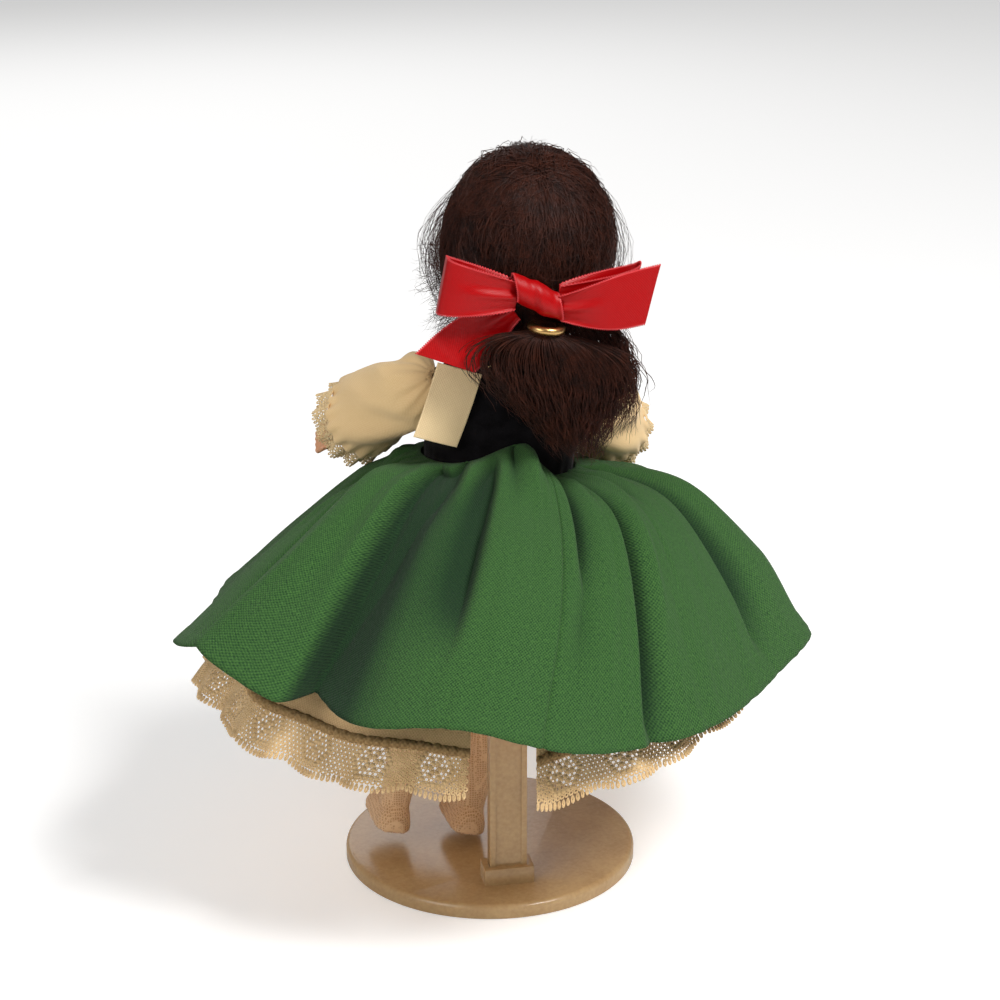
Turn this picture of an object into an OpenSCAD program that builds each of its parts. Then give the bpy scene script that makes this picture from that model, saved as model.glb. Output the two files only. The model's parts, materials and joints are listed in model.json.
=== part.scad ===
/* [Stand] */
// Diameter of the round base
base_d = 84; // [70:1:110]
// Thickness of the base
base_t = 4; // [3:0.5:6]
// Width of the flat post
post_w = 10.5; // [8:0.5:12]
// Thickness of the flat post
post_t = 4; // [3:0.5:5]
// Depth of the shallow channel down the post's back
channel_d = 0.5; // [0.3:0.1:1]
// Distance of the post behind the middle of the base
post_y = 26; // [25:0.5:30]
// Height of the waist clip's band
clip_h = 5; // [3:0.5:6]

/* [Doll] */
// Sideways lean of the doll in its clip, in degrees
doll_lean = 7; // [0:1:10]
// Further sideways lean of the legs from the hips, in degrees
leg_lean = 5; // [0:1:6]
// Sideways offset of the waist from the post
doll_x = -2.5; // [-4:0.5:1]
// Gap between the base and the soles
sole_gap = 4; // [3:0.5:8]
// Height of the hip joints above the soles
hip_h = 84; // [80:1:88]
// Rise from the hip joints to the waist
waist_rise = 28; // [25:0.5:31]
// Rise from the waist to the shoulder joints
shoulder_rise = 20; // [18:0.5:22]
// Half the distance between the shoulder joints
shoulder_x = 25.5; // [24.5:0.5:27]
// Half the distance between the hip joints
hip_x = 11; // [11:0.5:12]
// Radius of the neck
neck_r = 7.6; // [6.5:0.1:8]

/* [Head] */
// Rise from the shoulder joints to the middle of the head
head_rise = 40; // [38:0.5:43]
// Width of the head
head_w = 42; // [42:0.5:44]
// Depth of the head, front to back
head_d = 45; // [43:0.5:47]
// Height of the head
head_z = 51; // [50:0.5:53]
// Radius of an eyeball
eye_r = 5.2; // [4.5:0.1:5.5]
// Half the distance between the eyes
eye_x = 8.8; // [8.4:0.1:9.4]
// Thickness of the wig over the head
hair_t = 2.2; // [1.6:0.1:3]

/* [Bow] */
// Width of the ribbon
ribbon_w = 15; // [12:0.5:17]
// Reach of each loop from the middle of the knot
loop_reach = 26.5; // [23:0.5:30]
// Length of each tail from the knot
tail_len = 24; // [20:0.5:28]

/* [Arms] */
// Length of an arm from the shoulder joint to the finger tips
arm_len = 52; // [48:0.5:56]
// Outward splay of the left arm, in degrees
splay_left = 22; // [16:1:30]
// Forward swing of the left arm, in degrees
swing_left = 52; // [46:1:65]
// Outward splay of the right arm, in degrees
splay_right = 22; // [16:1:30]
// Forward swing of the right arm, in degrees
swing_right = 58; // [50:1:65]
// Length of a sleeve along the arm
sleeve_len = 32; // [28:0.5:34]
// Largest radius of a puffed sleeve
sleeve_r = 11.4; // [10.4:0.1:12.4]

/* [Dress] */
// Radius of the skirt at its hem
skirt_r = 86; // [78:1:90]
// Drop of the skirt from waist to hem
skirt_drop = 50; // [46:1:56]
// Depth that the folds of the skirt are measured in
fold_depth = 4.5; // [2:0.1:6]
// Height that the skirt's waist seam rises at the back
back_rise = 9.5; // [0:0.5:12]
// Number of soft folds around the petticoat
fold_count = 13; // [9:1:15]
// Radius of the petticoat at the lace's lower edge
petti_r = 80; // [74:1:82]
// Drop of the petticoat from waist to the lace's lower edge
petti_drop = 62; // [58:1:66]
// Width of the lace at the petticoat's hem
lace_w = 15; // [10:0.5:20]
// Width of the petticoat's back opening
slit_w = 17; // [16.5:0.5:19]
// Thickness of the cloth
cloth_t = 0.9; // [0.6:0.1:1.2]
// Turn of the skirt's hem back towards the level, in degrees
skirt_level = 1; // [0:0.5:5]
// Turn of the petticoat's hem past the level, in degrees
petti_level = 10; // [5:0.5:11]
// Sideways drift of the petticoat's hem
petti_drift = 8; // [0:0.5:10]

/* [Hidden] */
$fn = 48;
big = 400;

// Running clearance between pieces that move past each other
gap = 0.35;
// Clearance between layers that lie on one another
layer_gap = 0.3;
wall = 1.8;
edge_round = 1.5;
post_seat = 1.2;
boss_rise = 5;
channel_rim = 1.6;
slot_gap = 0.1;

// Heights of the doll's joints and landmarks above its soles
waist_h = hip_h + waist_rise;
shoulder_h = waist_h + shoulder_rise;
head_h = shoulder_h + head_rise;
neck_ball_h = head_h - head_z / 2 - 4;
neck_base_h = neck_ball_h - 1.5;

waist_point = [doll_x, 0, base_t + sole_gap + waist_h];
clip_drop = 10;
clip_z = waist_point[2] - clip_drop;

// Doll body, heights from the soles
crotch_h = hip_h - 6;
wedge_x = 3;
hip_r = 10.5;
hip_cup = hip_x - wedge_x - gap;
hip_flat = hip_cup - hip_r * sin(leg_lean);
shoulder_r = 7;
shoulder_flat = 3.6;
waist_x = 19;
waist_y = 14;
chest_x = shoulder_x - 4.2;
elastic_r = 1.3;
knob_r = 2.4;
knob_t = 2.4;

// Half sizes of the torso, from the crotch up to the root of the neck
torso_keys = [[crotch_h, 6, 5], [hip_h - 1, 13, 9.6], [hip_h + 7, 18.5, 14.5],
              [(hip_h + waist_h) / 2, 19, 14.5], [waist_h - 7, waist_x, waist_y],
              [waist_h + 1, waist_x, waist_y], [shoulder_h - 6, chest_x, 13.5],
              [shoulder_h + 1, chest_x, 12],
              [neck_base_h - 3, 14, 10], [neck_base_h, neck_r + 0.4, neck_r + 0.4]];

// Eyes and head
head_mid = [0, 0, head_h];
head_wall = 3;
hollow_r = head_w / 2 - head_wall;
face_y = head_d / 2;
eye_z = head_h - 0.5;
eye_depth = face_y * sqrt(1 - pow(2 * eye_x / head_w, 2)) - eye_r - 0.6;
eye_mid_y = -eye_depth;
axle_r = 0.9;
axle_gap = 0.06;
saddle_half = 1.4;
saddle_r = 2.2;
lever_w = 1.2;
lever_t = 1.8;
weight_drop = 10;
weight_back = 35;
weight_r = 2.6;
plate_t = 1.5;
plate_r = 9.5;
plate_z = neck_ball_h + neck_r + 2;

// Hair and bow, in the head's own frame
function hair_back(z) = (head_d / 2 + hair_t) * sqrt(1 - pow((z - head_h) / (head_z / 2 + hair_t), 2));
bow_z = head_h - 6;
bow_x = 1.6;
ribbon_t = 1;
knot_w = 13;
knot_h = 9;
knot_d = 7;
bow_start = knot_w / 2 + layer_gap;
knot_y = hair_back(bow_z) + layer_gap + knot_d / 2;
ring_r = 4;
ring_t = 1.1;
ring_x = bow_x - 3.8;
ring_z = bow_z - knot_h / 2 - ring_t - layer_gap - 2.5;
ring_y = hair_back(ring_z) + layer_gap + ring_r + ring_t;

// Arms and dress
arm_r = 5.8;
wrist_r = 3;
palm_len = 9;
sleeve_in = 1.6;
sleeve_end = 0.78;
cuff_len = 5.5;
bodice_t = 1.5;
bodice_low = waist_h + 0.4;
bodice_top = neck_base_h - 1.4;
skirt_top = waist_h - 0.4;
petti_ease = 1.8;
petti_low = 2.6;
petti_fold = 2.2;
ruffle_count = 34;
ruffle_depth = 0.7;
slit_shift = 10;
socket_wall = 1.2;

// Place of everything that leans with the doll
module in_doll() {
    translate(waist_point) rotate([0, -doll_lean, 0]) translate([0, 0, -waist_h]) children();
}

// Rounded hump of height 1
function bump_at(x, mid, wide) = exp(-pow((x - mid) / wide, 2));

// Middle of a ring of points
function ring_mid(ring) = [for (k = [0:2]) ([for (p = ring) 1] * [for (p = ring) p[k]]) / len(ring)];

// Closed solid through a list of rings with equal numbers of points
module loft(rings) {
    n = len(rings[0]);
    m = len(rings);
    sides = [for (v = [0:m - 2], u = [0:n - 1])
        let (a = v * n + u, b = v * n + (u + 1) % n) each [[a, b, b + n], [a, b + n, a + n]]];
    top_cap = [for (u = [0:n - 1]) [m * n, (u + 1) % n, u]];
    low_cap = [for (u = [0:n - 1]) [m * n + 1, (m - 1) * n + u, (m - 1) * n + (u + 1) % n]];
    points = concat([for (ring = rings) each ring], [ring_mid(rings[0]), ring_mid(rings[m - 1])]);
    polyhedron(points, concat(sides, top_cap, low_cap));
}

// Sheet with a thickness, from equal grids of outer and inner points
module sheet(outer, inner, closed) {
    n = len(outer[0]);
    m = len(outer);
    low = n * m;
    steps = closed ? n - 1 : n - 2;
    skin = [for (v = [0:m - 2], u = [0:steps])
        let (a = v * n + u, b = v * n + (u + 1) % n, c = b + n, d = a + n)
        each [[a, b, c], [a, c, d], [low + a, low + c, low + b], [low + a, low + d, low + c]]];
    rims = [for (u = [0:steps])
        let (a = u, b = (u + 1) % n, c = (m - 1) * n + a, d = (m - 1) * n + b)
        each [[a, low + a, low + b], [a, low + b, b], [c, low + d, low + c], [c, d, low + d]]];
    ends = closed ? [] : [for (v = [0:m - 2])
        let (a = v * n, b = a + n, c = v * n + n - 1, d = c + n)
        each [[a, low + b, low + a], [a, b, low + b], [c, low + c, low + d], [c, low + d, d]]];
    polyhedron(concat([for (row = outer) each row], [for (row = inner) each row]),
               concat(skin, rims, ends));
}

// Level oval ring, round when both half sizes are equal
function oval(mid, rx, ry, n) =
    [for (u = [0:n - 1]) mid + [rx * cos(360 * u / n), ry * sin(360 * u / n), 0]];

// Half sizes of the torso at any height, smoothed between its key sections
function torso_key(z, k) = k < len(torso_keys) - 2 && z > torso_keys[k + 1][0] ? torso_key(z, k + 1) : k;
function torso_half(z) =
    let (k = torso_key(z, 0), a = torso_keys[k], b = torso_keys[k + 1],
         f = min(1, max(0, (z - a[0]) / (b[0] - a[0]))), s = (1 - cos(180 * f)) / 2)
    [a[1] + (b[1] - a[1]) * s, a[2] + (b[2] - a[2]) * s];

// Torso form between two heights, grown outwards
module torso_form(low, high, grow, n, rows) {
    loft([for (v = [0:rows])
        let (z = high + (low - high) * v / rows, h = torso_half(z))
        oval([0, 0, z], h[0] + grow, h[1] + grow, n)]);
}

// Ball of a hip joint with its flat inner side, round the joint's middle
module hip_ball(side, flat, grow) {
    intersection() {
        sphere(hip_r + grow);
        translate([side * (big / 2 - flat - grow), 0, 0]) cube(big, center = true);
    }
}

// Place of a hip joint
module at_hip(side) {
    translate([side * hip_x, 0, hip_h]) children();
}

// Stand
module stand_base() {
    boss_w = post_w + 2 * wall;
    boss_t = post_t + 2 * wall;
    color([0.78, 0.71, 0.6]) difference() {
        union() {
            rotate_extrude() {
                square([base_d / 2 - edge_round, base_t]);
                square([base_d / 2, base_t - edge_round]);
                translate([base_d / 2 - edge_round, base_t - edge_round]) circle(edge_round);
            }
            translate([-boss_w / 2, post_y - boss_t / 2, 0]) cube([boss_w, boss_t, base_t + boss_rise]);
        }
        translate([-post_w / 2 - slot_gap, post_y - post_t / 2 - slot_gap, post_seat])
            cube([post_w + 2 * slot_gap, post_t + 2 * slot_gap, big]);
    }
}

module stand_post() {
    shoulder_z = clip_z - clip_h / 2;
    color([0.72, 0.63, 0.5]) translate([0, post_y, 0]) {
        difference() {
            translate([-post_w / 2, -post_t / 2, post_seat])
                cube([post_w, post_t, shoulder_z - post_seat]);
            translate([-post_w / 2 + channel_rim, post_t / 2 - channel_d, base_t + boss_rise])
                cube([post_w - 2 * channel_rim, post_t, shoulder_z - base_t - boss_rise - 12]);
        }
        intersection() {
            translate([0, post_t / 2, shoulder_z]) rotate([90, 0, 0]) cylinder(d = post_w, h = post_t);
            translate([-post_w / 2, -post_t / 2, shoulder_z]) cube([post_w, post_t, clip_h - 1]);
        }
    }
}

// Outline of the bare waist, grown outwards
module waist_outline(grow) {
    polygon([for (a = [0:7.5:352.5]) [(waist_x + grow) * cos(a), (waist_y + grow) * sin(a)]]);
}

// Band that grips the waist, with a socket over the top of the post
module waist_clip() {
    socket_w = post_w + 2 * socket_wall;
    socket_t = post_t + 2 * socket_wall;
    socket_h = clip_h + 6;
    band_x = doll_x + clip_drop * tan(doll_lean);
    ease = gap + clip_h / 2 * tan(doll_lean) + 0.2;
    neck_w = 6;
    color([0.82, 0.76, 0.66]) difference() {
        union() {
            translate([-socket_w / 2, post_y - socket_t / 2, clip_z + clip_h / 2 - socket_h])
                cube([socket_w, socket_t, socket_h]);
            translate([-neck_w / 2, 0, clip_z - clip_h / 2]) cube([neck_w, post_y, clip_h]);
            translate([band_x, 0, clip_z - clip_h / 2]) linear_extrude(clip_h) waist_outline(ease + wall);
        }
        translate([band_x, 0, clip_z - clip_h]) linear_extrude(2 * clip_h) waist_outline(ease);
        translate([band_x - waist_x * 0.8, -big, clip_z - clip_h]) cube([waist_x * 1.6, big, 2 * clip_h]);
        translate([-post_w / 2 - slot_gap, post_y - post_t / 2 - slot_gap, 0])
            cube([post_w + 2 * slot_gap, post_t + 2 * slot_gap, clip_z + clip_h / 2 - 0.8]);
    }
}

// Body
module torso_shell() {
    difference() {
        union() {
            torso_form(crotch_h, neck_base_h, 0, 28, 14);
            translate([0, 0, neck_base_h - 2]) cylinder(r = neck_r, h = neck_ball_h - neck_base_h + 2);
            translate([0, 0, neck_ball_h]) sphere(neck_r);
        }
        difference() {
            torso_form(crotch_h + wall, neck_base_h - 1, -wall, 20, 9);
            for (side = [-1, 1]) {
                at_hip(side) hip_ball(side, hip_cup, wall);
            }
            cube([2 * (wedge_x + gap + wall), big, 2 * (hip_h + hip_r)], center = true);
        }
        for (side = [-1, 1]) {
            at_hip(side) hip_ball(side, hip_cup, gap);
            translate([side * (shoulder_x - shoulder_flat - gap), 0, shoulder_h]) rotate([0, side * 90, 0])
                cylinder(r = shoulder_r + gap, h = big);
        }
        translate([0, 0, shoulder_h]) rotate([0, 90, 0]) cylinder(r = elastic_r + gap, h = 3 * shoulder_x,
                                                                  center = true);
        translate([0, 0, hip_h]) rotate([0, 90, 0]) cylinder(r = elastic_r + gap, h = 3 * hip_x,
                                                             center = true);
        translate([0, 0, shoulder_h]) cylinder(r = elastic_r + gap, h = big);
    }
}

module torso_half_shell(side) {
    seam = 0.02;
    intersection() {
        torso_shell();
        translate([0, side * (big / 2 + seam), waist_h]) cube(big, center = true);
    }
}

module torso_front() {
    color([0.91, 0.68, 0.53]) in_doll() torso_half_shell(-1);
}

module torso_back() {
    color([0.89, 0.66, 0.51]) in_doll() torso_half_shell(1);
}

// Elastic cord along a joint axis, with a knob on each end
module cross_elastic(z, half) {
    translate([0, 0, z]) rotate([0, 90, 0]) {
        cylinder(r = elastic_r, h = 2 * half, center = true);
        for (side = [-1, 1]) {
            translate([0, 0, side * half]) cylinder(r = knob_r, h = knob_t, center = true);
        }
    }
}

module arm_elastic() {
    color("ivory") in_doll() cross_elastic(shoulder_h, shoulder_x);
}

module leg_elastic() {
    color("ivory") in_doll() cross_elastic(hip_h, hip_x);
}

module neck_elastic() {
    low = shoulder_h + elastic_r + slot_gap;
    high = plate_z + plate_t + layer_gap;
    color("ivory") in_doll() {
        translate([0, 0, low]) cylinder(r = elastic_r, h = high - low);
        translate([0, 0, high]) cylinder(r = knob_r, h = knob_t);
    }
}

// Hole in a limb for the knob of its elastic, round the joint axis
module knob_pocket(side) {
    rotate([0, 90, 0]) {
        cylinder(r = knob_r + gap, h = knob_t + 2 * gap, center = true);
        translate([0, 0, side < 0 ? 0 : -big]) cylinder(r = elastic_r + gap, h = big);
    }
}

// Clothes on the body
module panties() {
    low = hip_h - 2;
    high = waist_point[2] - base_t - sole_gap - clip_drop - clip_h / 2 - 4;
    ease = 2 * layer_gap + slot_gap;
    panties_t = 0.7;
    color("white") in_doll() difference() {
        torso_form(low, high, ease + panties_t, 28, 6);
        torso_form(low - 1, high + 1, ease, 28, 6);
        for (side = [-1, 1]) {
            at_hip(side) hip_ball(side, hip_cup, 2 * gap + 0.4);
        }
    }
}

module bodice() {
    color([0.05, 0.05, 0.06]) in_doll() difference() {
        torso_form(bodice_low, bodice_top, layer_gap + bodice_t, 32, 6);
        torso_form(bodice_low - 1, bodice_top + 1, layer_gap, 32, 8);
        translate([0, 0, shoulder_h]) rotate([0, 90, 0])
            cylinder(r = shoulder_r + 2 * gap + 0.2, h = big, center = true);
    }
}

module neck_ruffle() {
    ruffle_r = 1.3;
    color([0.9, 0.82, 0.66]) in_doll() translate([0, 0, neck_base_h + ruffle_r / 2])
        rotate_extrude() translate([neck_r + 3 * layer_gap + ruffle_r, 0]) circle(ruffle_r, $fn = 24);
}

module dress_label() {
    label_w = 13;
    label_h = 20;
    label_t = 0.5;
    near_x = 11;
    near_y = 12.3;
    color([0.92, 0.85, 0.69]) in_doll() translate([near_x, near_y, shoulder_h + 6])
        rotate([0, -14, 12]) translate([0, 0, -label_h]) cube([label_w, label_t, label_h]);
}

// Share of the skirt's drop at a step from waist to hem, level at first and then a straight slope
function soft_slope(t, level) = t - level + sqrt(pow(t - level, 2) + 0.02);
function skirt_fall(t, a) =
    let (front = pow(max(0, -sin(a)), 0.8), back = pow(max(0, sin(a)), 0.8),
         level = (0.1 + 0.2 * back + 0.28 * max(0, -cos(a))) * (1 - front), first = soft_slope(0, level))
    (soft_slope(t, level) - first) / (soft_slope(1, level) - first);

// Share of the petticoat's drop at a step from waist to hem
function petti_fall(t) = 0.84 * t * (1 - t) + t * t;

// Waves of the cloth's folds round the waist, between -1 and 1
function folds(a, count) = 0.62 * cos(count * a + 34 * sin(2 * a)) + 0.38 * cos((count - 5) * a + 70);

// Oval radius of the dressed waist towards an angle
function waist_r(a, grow) =
    let (rx = waist_x + grow, ry = waist_y + grow)
    rx * ry / sqrt(pow(ry * cos(a), 2) + pow(rx * sin(a), 2));

// Point hanging from the waist, turned and drifted sideways by its share of the way down
function hang(r, a, z, turn, drift) =
    let (x = r * cos(a))
    [x * cos(turn) + z * sin(turn) + drift, r * sin(a), waist_h - x * sin(turn) + z * cos(turn)];

// Lift of the hems, where the skirt stands out on the right and both rise at the sides
function skirt_lift(a) = 16 * bump_at(turn_to(a, 168), 0, 30) + 10 * bump_at(turn_to(a, 26), 0, 14)
    + 5 * bump_at(turn_to(a, 79), 0, 12) - 8 * bump_at(turn_to(a, 338), 0, 38);
function petti_lift(a) = 6 * pow(cos(a), 2) - 4 * bump_at(turn_to(a, 57), 0, 46);

// Signed turn between two bearings, and an easy step from 0 to 1
function turn_to(a, b) = (a - b + 900) % 360 - 180;
function ease_step(low, high, x) = let (s = min(1, max(0, (x - low) / (high - low)))) s * s * (3 - 2 * s);

// Sharp folds between the skirt's panels: bearing at the hem, half widths before and after it, height,
// and the share of the way down where each begins and ends
back_folds = [[21, 4, 3, -0.9, 0.1, 1.3], [33, 7, 7, 1.1, 0.04, 1.3], [46, 3, 8, -2, 0.02, 1.02],
              [70, 6, 3, -0.9, 0.02, 0.7], [95, 3, 3.5, -1.1, 0.03, 0.6], [112, 3, 3.5, -1.1, 0.05, 0.98],
              [149, 3, 8, -1.8, 0.02, 1.05], [166, 8, 8, 0.9, 0.05, 1.3]];
front_folds = [for (k = [0:7]) [193 + 21 * k, 8, 8, 0.7 * pow(-1, k), 0.08, 1.3]];
skirt_folds = concat(back_folds, front_folds);

function fold_out(t, a) = fold_depth * ([for (f = skirt_folds) 1] * [for (f = skirt_folds)
    let (away = turn_to(a, f[0]))
    f[3] * bump_at(away, 0, away < 0 ? f[1] : f[2]) * ease_step(f[4], f[4] + 0.2, t)
        * (1 - ease_step(f[5] - 0.3, f[5], t))]);

// Bearing at a step from waist to hem: the gathers crowd round the waist's narrow sides
function skirt_bearing(t, a) =
    a + pow(1 - t, 1.2) * (24 * bump_at(turn_to(a, 92), 0, 42) - 18 * sin(2 * a));

// Rise of the waist seam at the back, gone again a third of the way down
function skirt_rise(t, b) = back_rise * bump_at(b, 93, 36) * (1 - ease_step(0, 0.34, t));

function skirt_point(t, a, depth) =
    let (hem = skirt_r - 2.5 * cos(a) + 3 * sin(2 * a), b = skirt_bearing(t, a), rise = skirt_rise(t, b),
         r = waist_r(b, layer_gap + bodice_t + 1) * (1 - t) + hem * t + fold_out(t, a) + 0.06 * rise,
         z = skirt_top - waist_h + rise - (skirt_drop - skirt_lift(a)) * skirt_fall(t, a))
    hang(r - 0.7 * depth, b, z - 0.7 * depth, skirt_level * t, 0);

module skirt() {
    back_n = 60;
    front_n = 24;
    rows = 6;
    bearings = concat([for (u = [0:back_n - 1]) 180 * u / back_n],
                      [for (u = [0:front_n - 1]) 180 + 180 * u / front_n]);
    color([0.16, 0.4, 0.2]) in_doll() sheet(
        [for (v = [0:rows]) [for (a = bearings) skirt_point(v / rows, a, 0)]],
        [for (v = [0:rows]) [for (a = bearings) skirt_point(v / rows, a, cloth_t)]], true);
}

// Point of the petticoat: its two back edges keep the opening's width all the way down
function petti_point(t, f, depth, ruffle) =
    let (back_r = waist_r(90, petti_ease) * (1 - t) + petti_r * t,
         shift = slit_shift * pow(back_r / petti_r, 3),
         a0 = acos((shift - slit_w / 2) / back_r), a1 = acos((shift + slit_w / 2) / back_r) + 360,
         a = a0 + (a1 - a0) * f, r0 = waist_r(a, petti_ease) * (1 - t) + petti_r * t,
         wave = folds(a, fold_count) * petti_fold * t + ruffle * cos(ruffle_count * 360 * f),
         z = skirt_top - waist_h - petti_low - (petti_drop - petti_lift(a)) * petti_fall(t))
    hang(r0 + wave - 0.7 * depth, a, z - 0.7 * depth, petti_level * t, petti_drift * t);

lace_start = 1 - lace_w / sqrt(pow(petti_r - waist_x, 2) + pow(petti_drop, 2)) * 1.08;

module petticoat() {
    n = 72;
    rows = 4;
    color([0.8, 0.7, 0.55]) in_doll() sheet(
        [for (v = [0:rows]) [for (u = [0:n]) petti_point(lace_start * v / rows, u / n, 0, 0)]],
        [for (v = [0:rows]) [for (u = [0:n]) petti_point(lace_start * v / rows, u / n, cloth_t, 0)]],
        false);
}

module petticoat_lace() {
    n = 4 * ruffle_count;
    rows = 2;
    first = lace_start + 0.006;
    function lace_t(v) = first + (1 - first) * v / rows;
    function lace_row(v, depth) =
        [for (u = [0:n]) petti_point(lace_t(v), u / n, depth, ruffle_depth * v / rows)];
    color([0.86, 0.77, 0.62]) in_doll() sheet([for (v = [0:rows]) lace_row(v, 0)],
                                              [for (v = [0:rows]) lace_row(v, cloth_t)], false);
}

// Head, hair and bow: a point of the head towards a bearing and a height angle, with full cheeks
function head_point(a, b, grow) =
    let (cheek = 1.2 * bump_at(b, -22, 18) * (bump_at(a, 245, 26) + bump_at(a, 295, 26)), g = grow + cheek)
    head_mid + [(head_w / 2 + g) * cos(b) * cos(a), (head_d / 2 + g) * cos(b) * sin(a),
                (head_z / 2 + grow) * sin(b)];

module head_form(grow, n, rows) {
    loft([for (v = [0:rows]) let (b = 84 - 168 * v / rows)
        [for (u = [0:n - 1]) head_point(360 * u / n, b, grow)]]);
}

module head_shell() {
    nose_r = 2;
    opening_w = eye_r * 0.86;
    color([0.93, 0.71, 0.57]) in_doll() difference() {
        union() {
            head_form(0, 36, 16);
            translate([0, -face_y + 0.6, head_h - head_z / 9]) sphere(nose_r);
        }
        translate(head_mid) sphere(hollow_r);
        translate([0, 0, plate_z - layer_gap]) cylinder(r = plate_r + slot_gap, h = head_h - plate_z);
        translate([0, 0, neck_ball_h]) sphere(neck_r + gap);
        translate([0, 0, neck_ball_h]) cylinder(r = elastic_r + 2 * gap, h = plate_z - neck_ball_h);
        for (side = [-1, 1]) {
            translate([side * eye_x, eye_mid_y, eye_z]) {
                sphere(eye_r + gap);
                rotate([90, 0, 0]) cylinder(r = opening_w, h = big);
            }
        }
    }
}

module neck_plate() {
    color("silver") in_doll() translate([0, 0, plate_z]) difference() {
        cylinder(r = plate_r, h = plate_t);
        translate([0, 0, -1]) cylinder(r = elastic_r + gap, h = plate_t + 2);
    }
}

module eye_ball(side) {
    in_doll() difference() {
        translate([side * eye_x, eye_mid_y, eye_z]) sphere(eye_r);
        translate([side * eye_x, eye_mid_y, eye_z]) rotate([0, 90, 0])
            cylinder(r = axle_r + axle_gap, h = 2 * eye_r + 2, center = true);
    }
}

module eye_left() {
    color([0.95, 0.95, 0.93]) eye_ball(1);
}

module eye_right() {
    color([0.94, 0.94, 0.92]) eye_ball(-1);
}

module eye_axle() {
    color("silver") in_doll() translate([0, eye_mid_y, eye_z]) rotate([0, 90, 0])
        cylinder(r = axle_r, h = 2 * (eye_x + eye_r * 0.6), center = true);
}

// Weight on two arms that hang from the axle and keep the eyes open
module eye_weight() {
    arm_x = saddle_half + gap + lever_w / 2 + 0.1;
    color([0.35, 0.35, 0.37]) in_doll() translate([0, eye_mid_y, eye_z]) difference() {
        union() {
            for (side = [-1, 1]) {
                translate([side * arm_x, 0, 0]) rotate([0, 90, 0])
                    cylinder(r = lever_t, h = lever_w, center = true);
                rotate([weight_back, 0, 0])
                    translate([side * arm_x - lever_w / 2, -lever_t / 2, -weight_drop])
                    cube([lever_w, lever_t, weight_drop]);
            }
            rotate([weight_back, 0, 0]) translate([0, 0, -weight_drop]) rotate([0, 90, 0])
                cylinder(r = weight_r, h = 2 * arm_x + lever_w, center = true);
        }
        rotate([0, 90, 0]) cylinder(r = axle_r + axle_gap, h = big, center = true);
    }
}

// Plate behind the bridge of the nose that carries the axle
module eye_saddle() {
    bar_t = 2 * saddle_half;
    corner = sqrt(2) * saddle_half + 0.5;
    reach = sqrt(pow(hollow_r, 2) - pow(corner, 2)) - eye_depth - slot_gap;
    color([0.85, 0.8, 0.7]) in_doll() translate([0, eye_mid_y, eye_z]) difference() {
        union() {
            rotate([0, 90, 0]) cylinder(r = saddle_r, h = 2 * saddle_half, center = true);
            translate([-saddle_half, -reach, -bar_t / 2]) cube([2 * saddle_half, reach, bar_t]);
        }
        rotate([0, 90, 0]) cylinder(r = axle_r + axle_gap, h = big, center = true);
    }
}

module hair_cap() {
    face_r = 16.5;
    face_z = head_h - 8;
    nape_h = head_h - head_z * 0.42;
    color([0.24, 0.13, 0.09]) in_doll() difference() {
        head_form(hair_t, 32, 14);
        head_form(slot_gap, 36, 16);
        translate([0, -4, face_z]) rotate([90, 0, 0]) cylinder(r = face_r, h = big);
        translate([-big / 2, -big / 2, nape_h - big]) cube(big);
    }
}

// Ring of points across a hanging tail of hair
function tail_ring(x, y, z, w, d, n) = [for (u = [0:n - 1])
    let (a = 360 * u / n) [x + w * cos(a) * (1 + 0.1 * cos(5 * a)), y + d * sin(a), z]];

module ponytail() {
    neck = ring_r - ring_t - layer_gap;
    top = ring_z + ring_t / 2;
    len = top - waist_h - 12;
    rows = 9;
    color([0.21, 0.11, 0.08]) in_doll() loft([for (v = [0:rows])
        let (t = v / rows, s = max(0, t - 1 / rows) * rows / (rows - 1), swell = sin(165 * pow(s, 0.6)))
        tail_ring(ring_x - 13 * s, ring_y, top - len * t, neck + 14 * swell, neck + 3.6 * swell, 20)]);
}

module hair_band() {
    color([0.75, 0.6, 0.36]) in_doll() translate([ring_x, ring_y, ring_z])
        rotate_extrude() translate([ring_r, 0]) circle(ring_t, $fn = 24);
}

module bow_knot() {
    color([0.76, 0.09, 0.15]) in_doll() translate([bow_x, knot_y, bow_z]) rotate([0, 90, 0])
        loft([for (v = [0:6]) let (f = v / 6, r = 0.84 + 0.16 * sin(180 * f), x = knot_w / 2 * (1 - 2 * f))
            [for (u = [0:15]) let (a = 22.5 * u) [knot_h / 2 * r * cos(a), knot_d / 2 * r * sin(a), x]]]);
}

// Flattened loop of ribbon reaching sideways from the knot
function loop_depth(x) =
    let (t = min(1, max(0, (x - bow_start) / (loop_reach - bow_start))))
    0.9 + 2.6 * sin(180 * pow(t, 0.8));

module bow_loop(side, rise) {
    rows = 9;
    rings = [for (v = [0:rows])
        let (t = v / rows, x = bow_start + (loop_reach - bow_start) * t,
             h = (knot_h * 0.7 + (ribbon_w - knot_h * 0.7) * sin(90 * t)) / 2, d = loop_depth(x))
        [for (u = [0:15]) let (a = 22.5 * u, c = cos(a), s = sin(a))
            [x, d * s, h * sign(c) * sqrt(abs(c)) + rise * t]]];
    translate([bow_x, knot_y, bow_z]) mirror([side < 0 ? 1 : 0, 0, 0]) loft(rings);
}

module bow_loop_left() {
    color([0.8, 0.1, 0.17]) in_doll() bow_loop(1, 1.5);
}

module bow_loop_right() {
    color([0.8, 0.1, 0.17]) in_doll() bow_loop(-1, 4);
}

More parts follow.
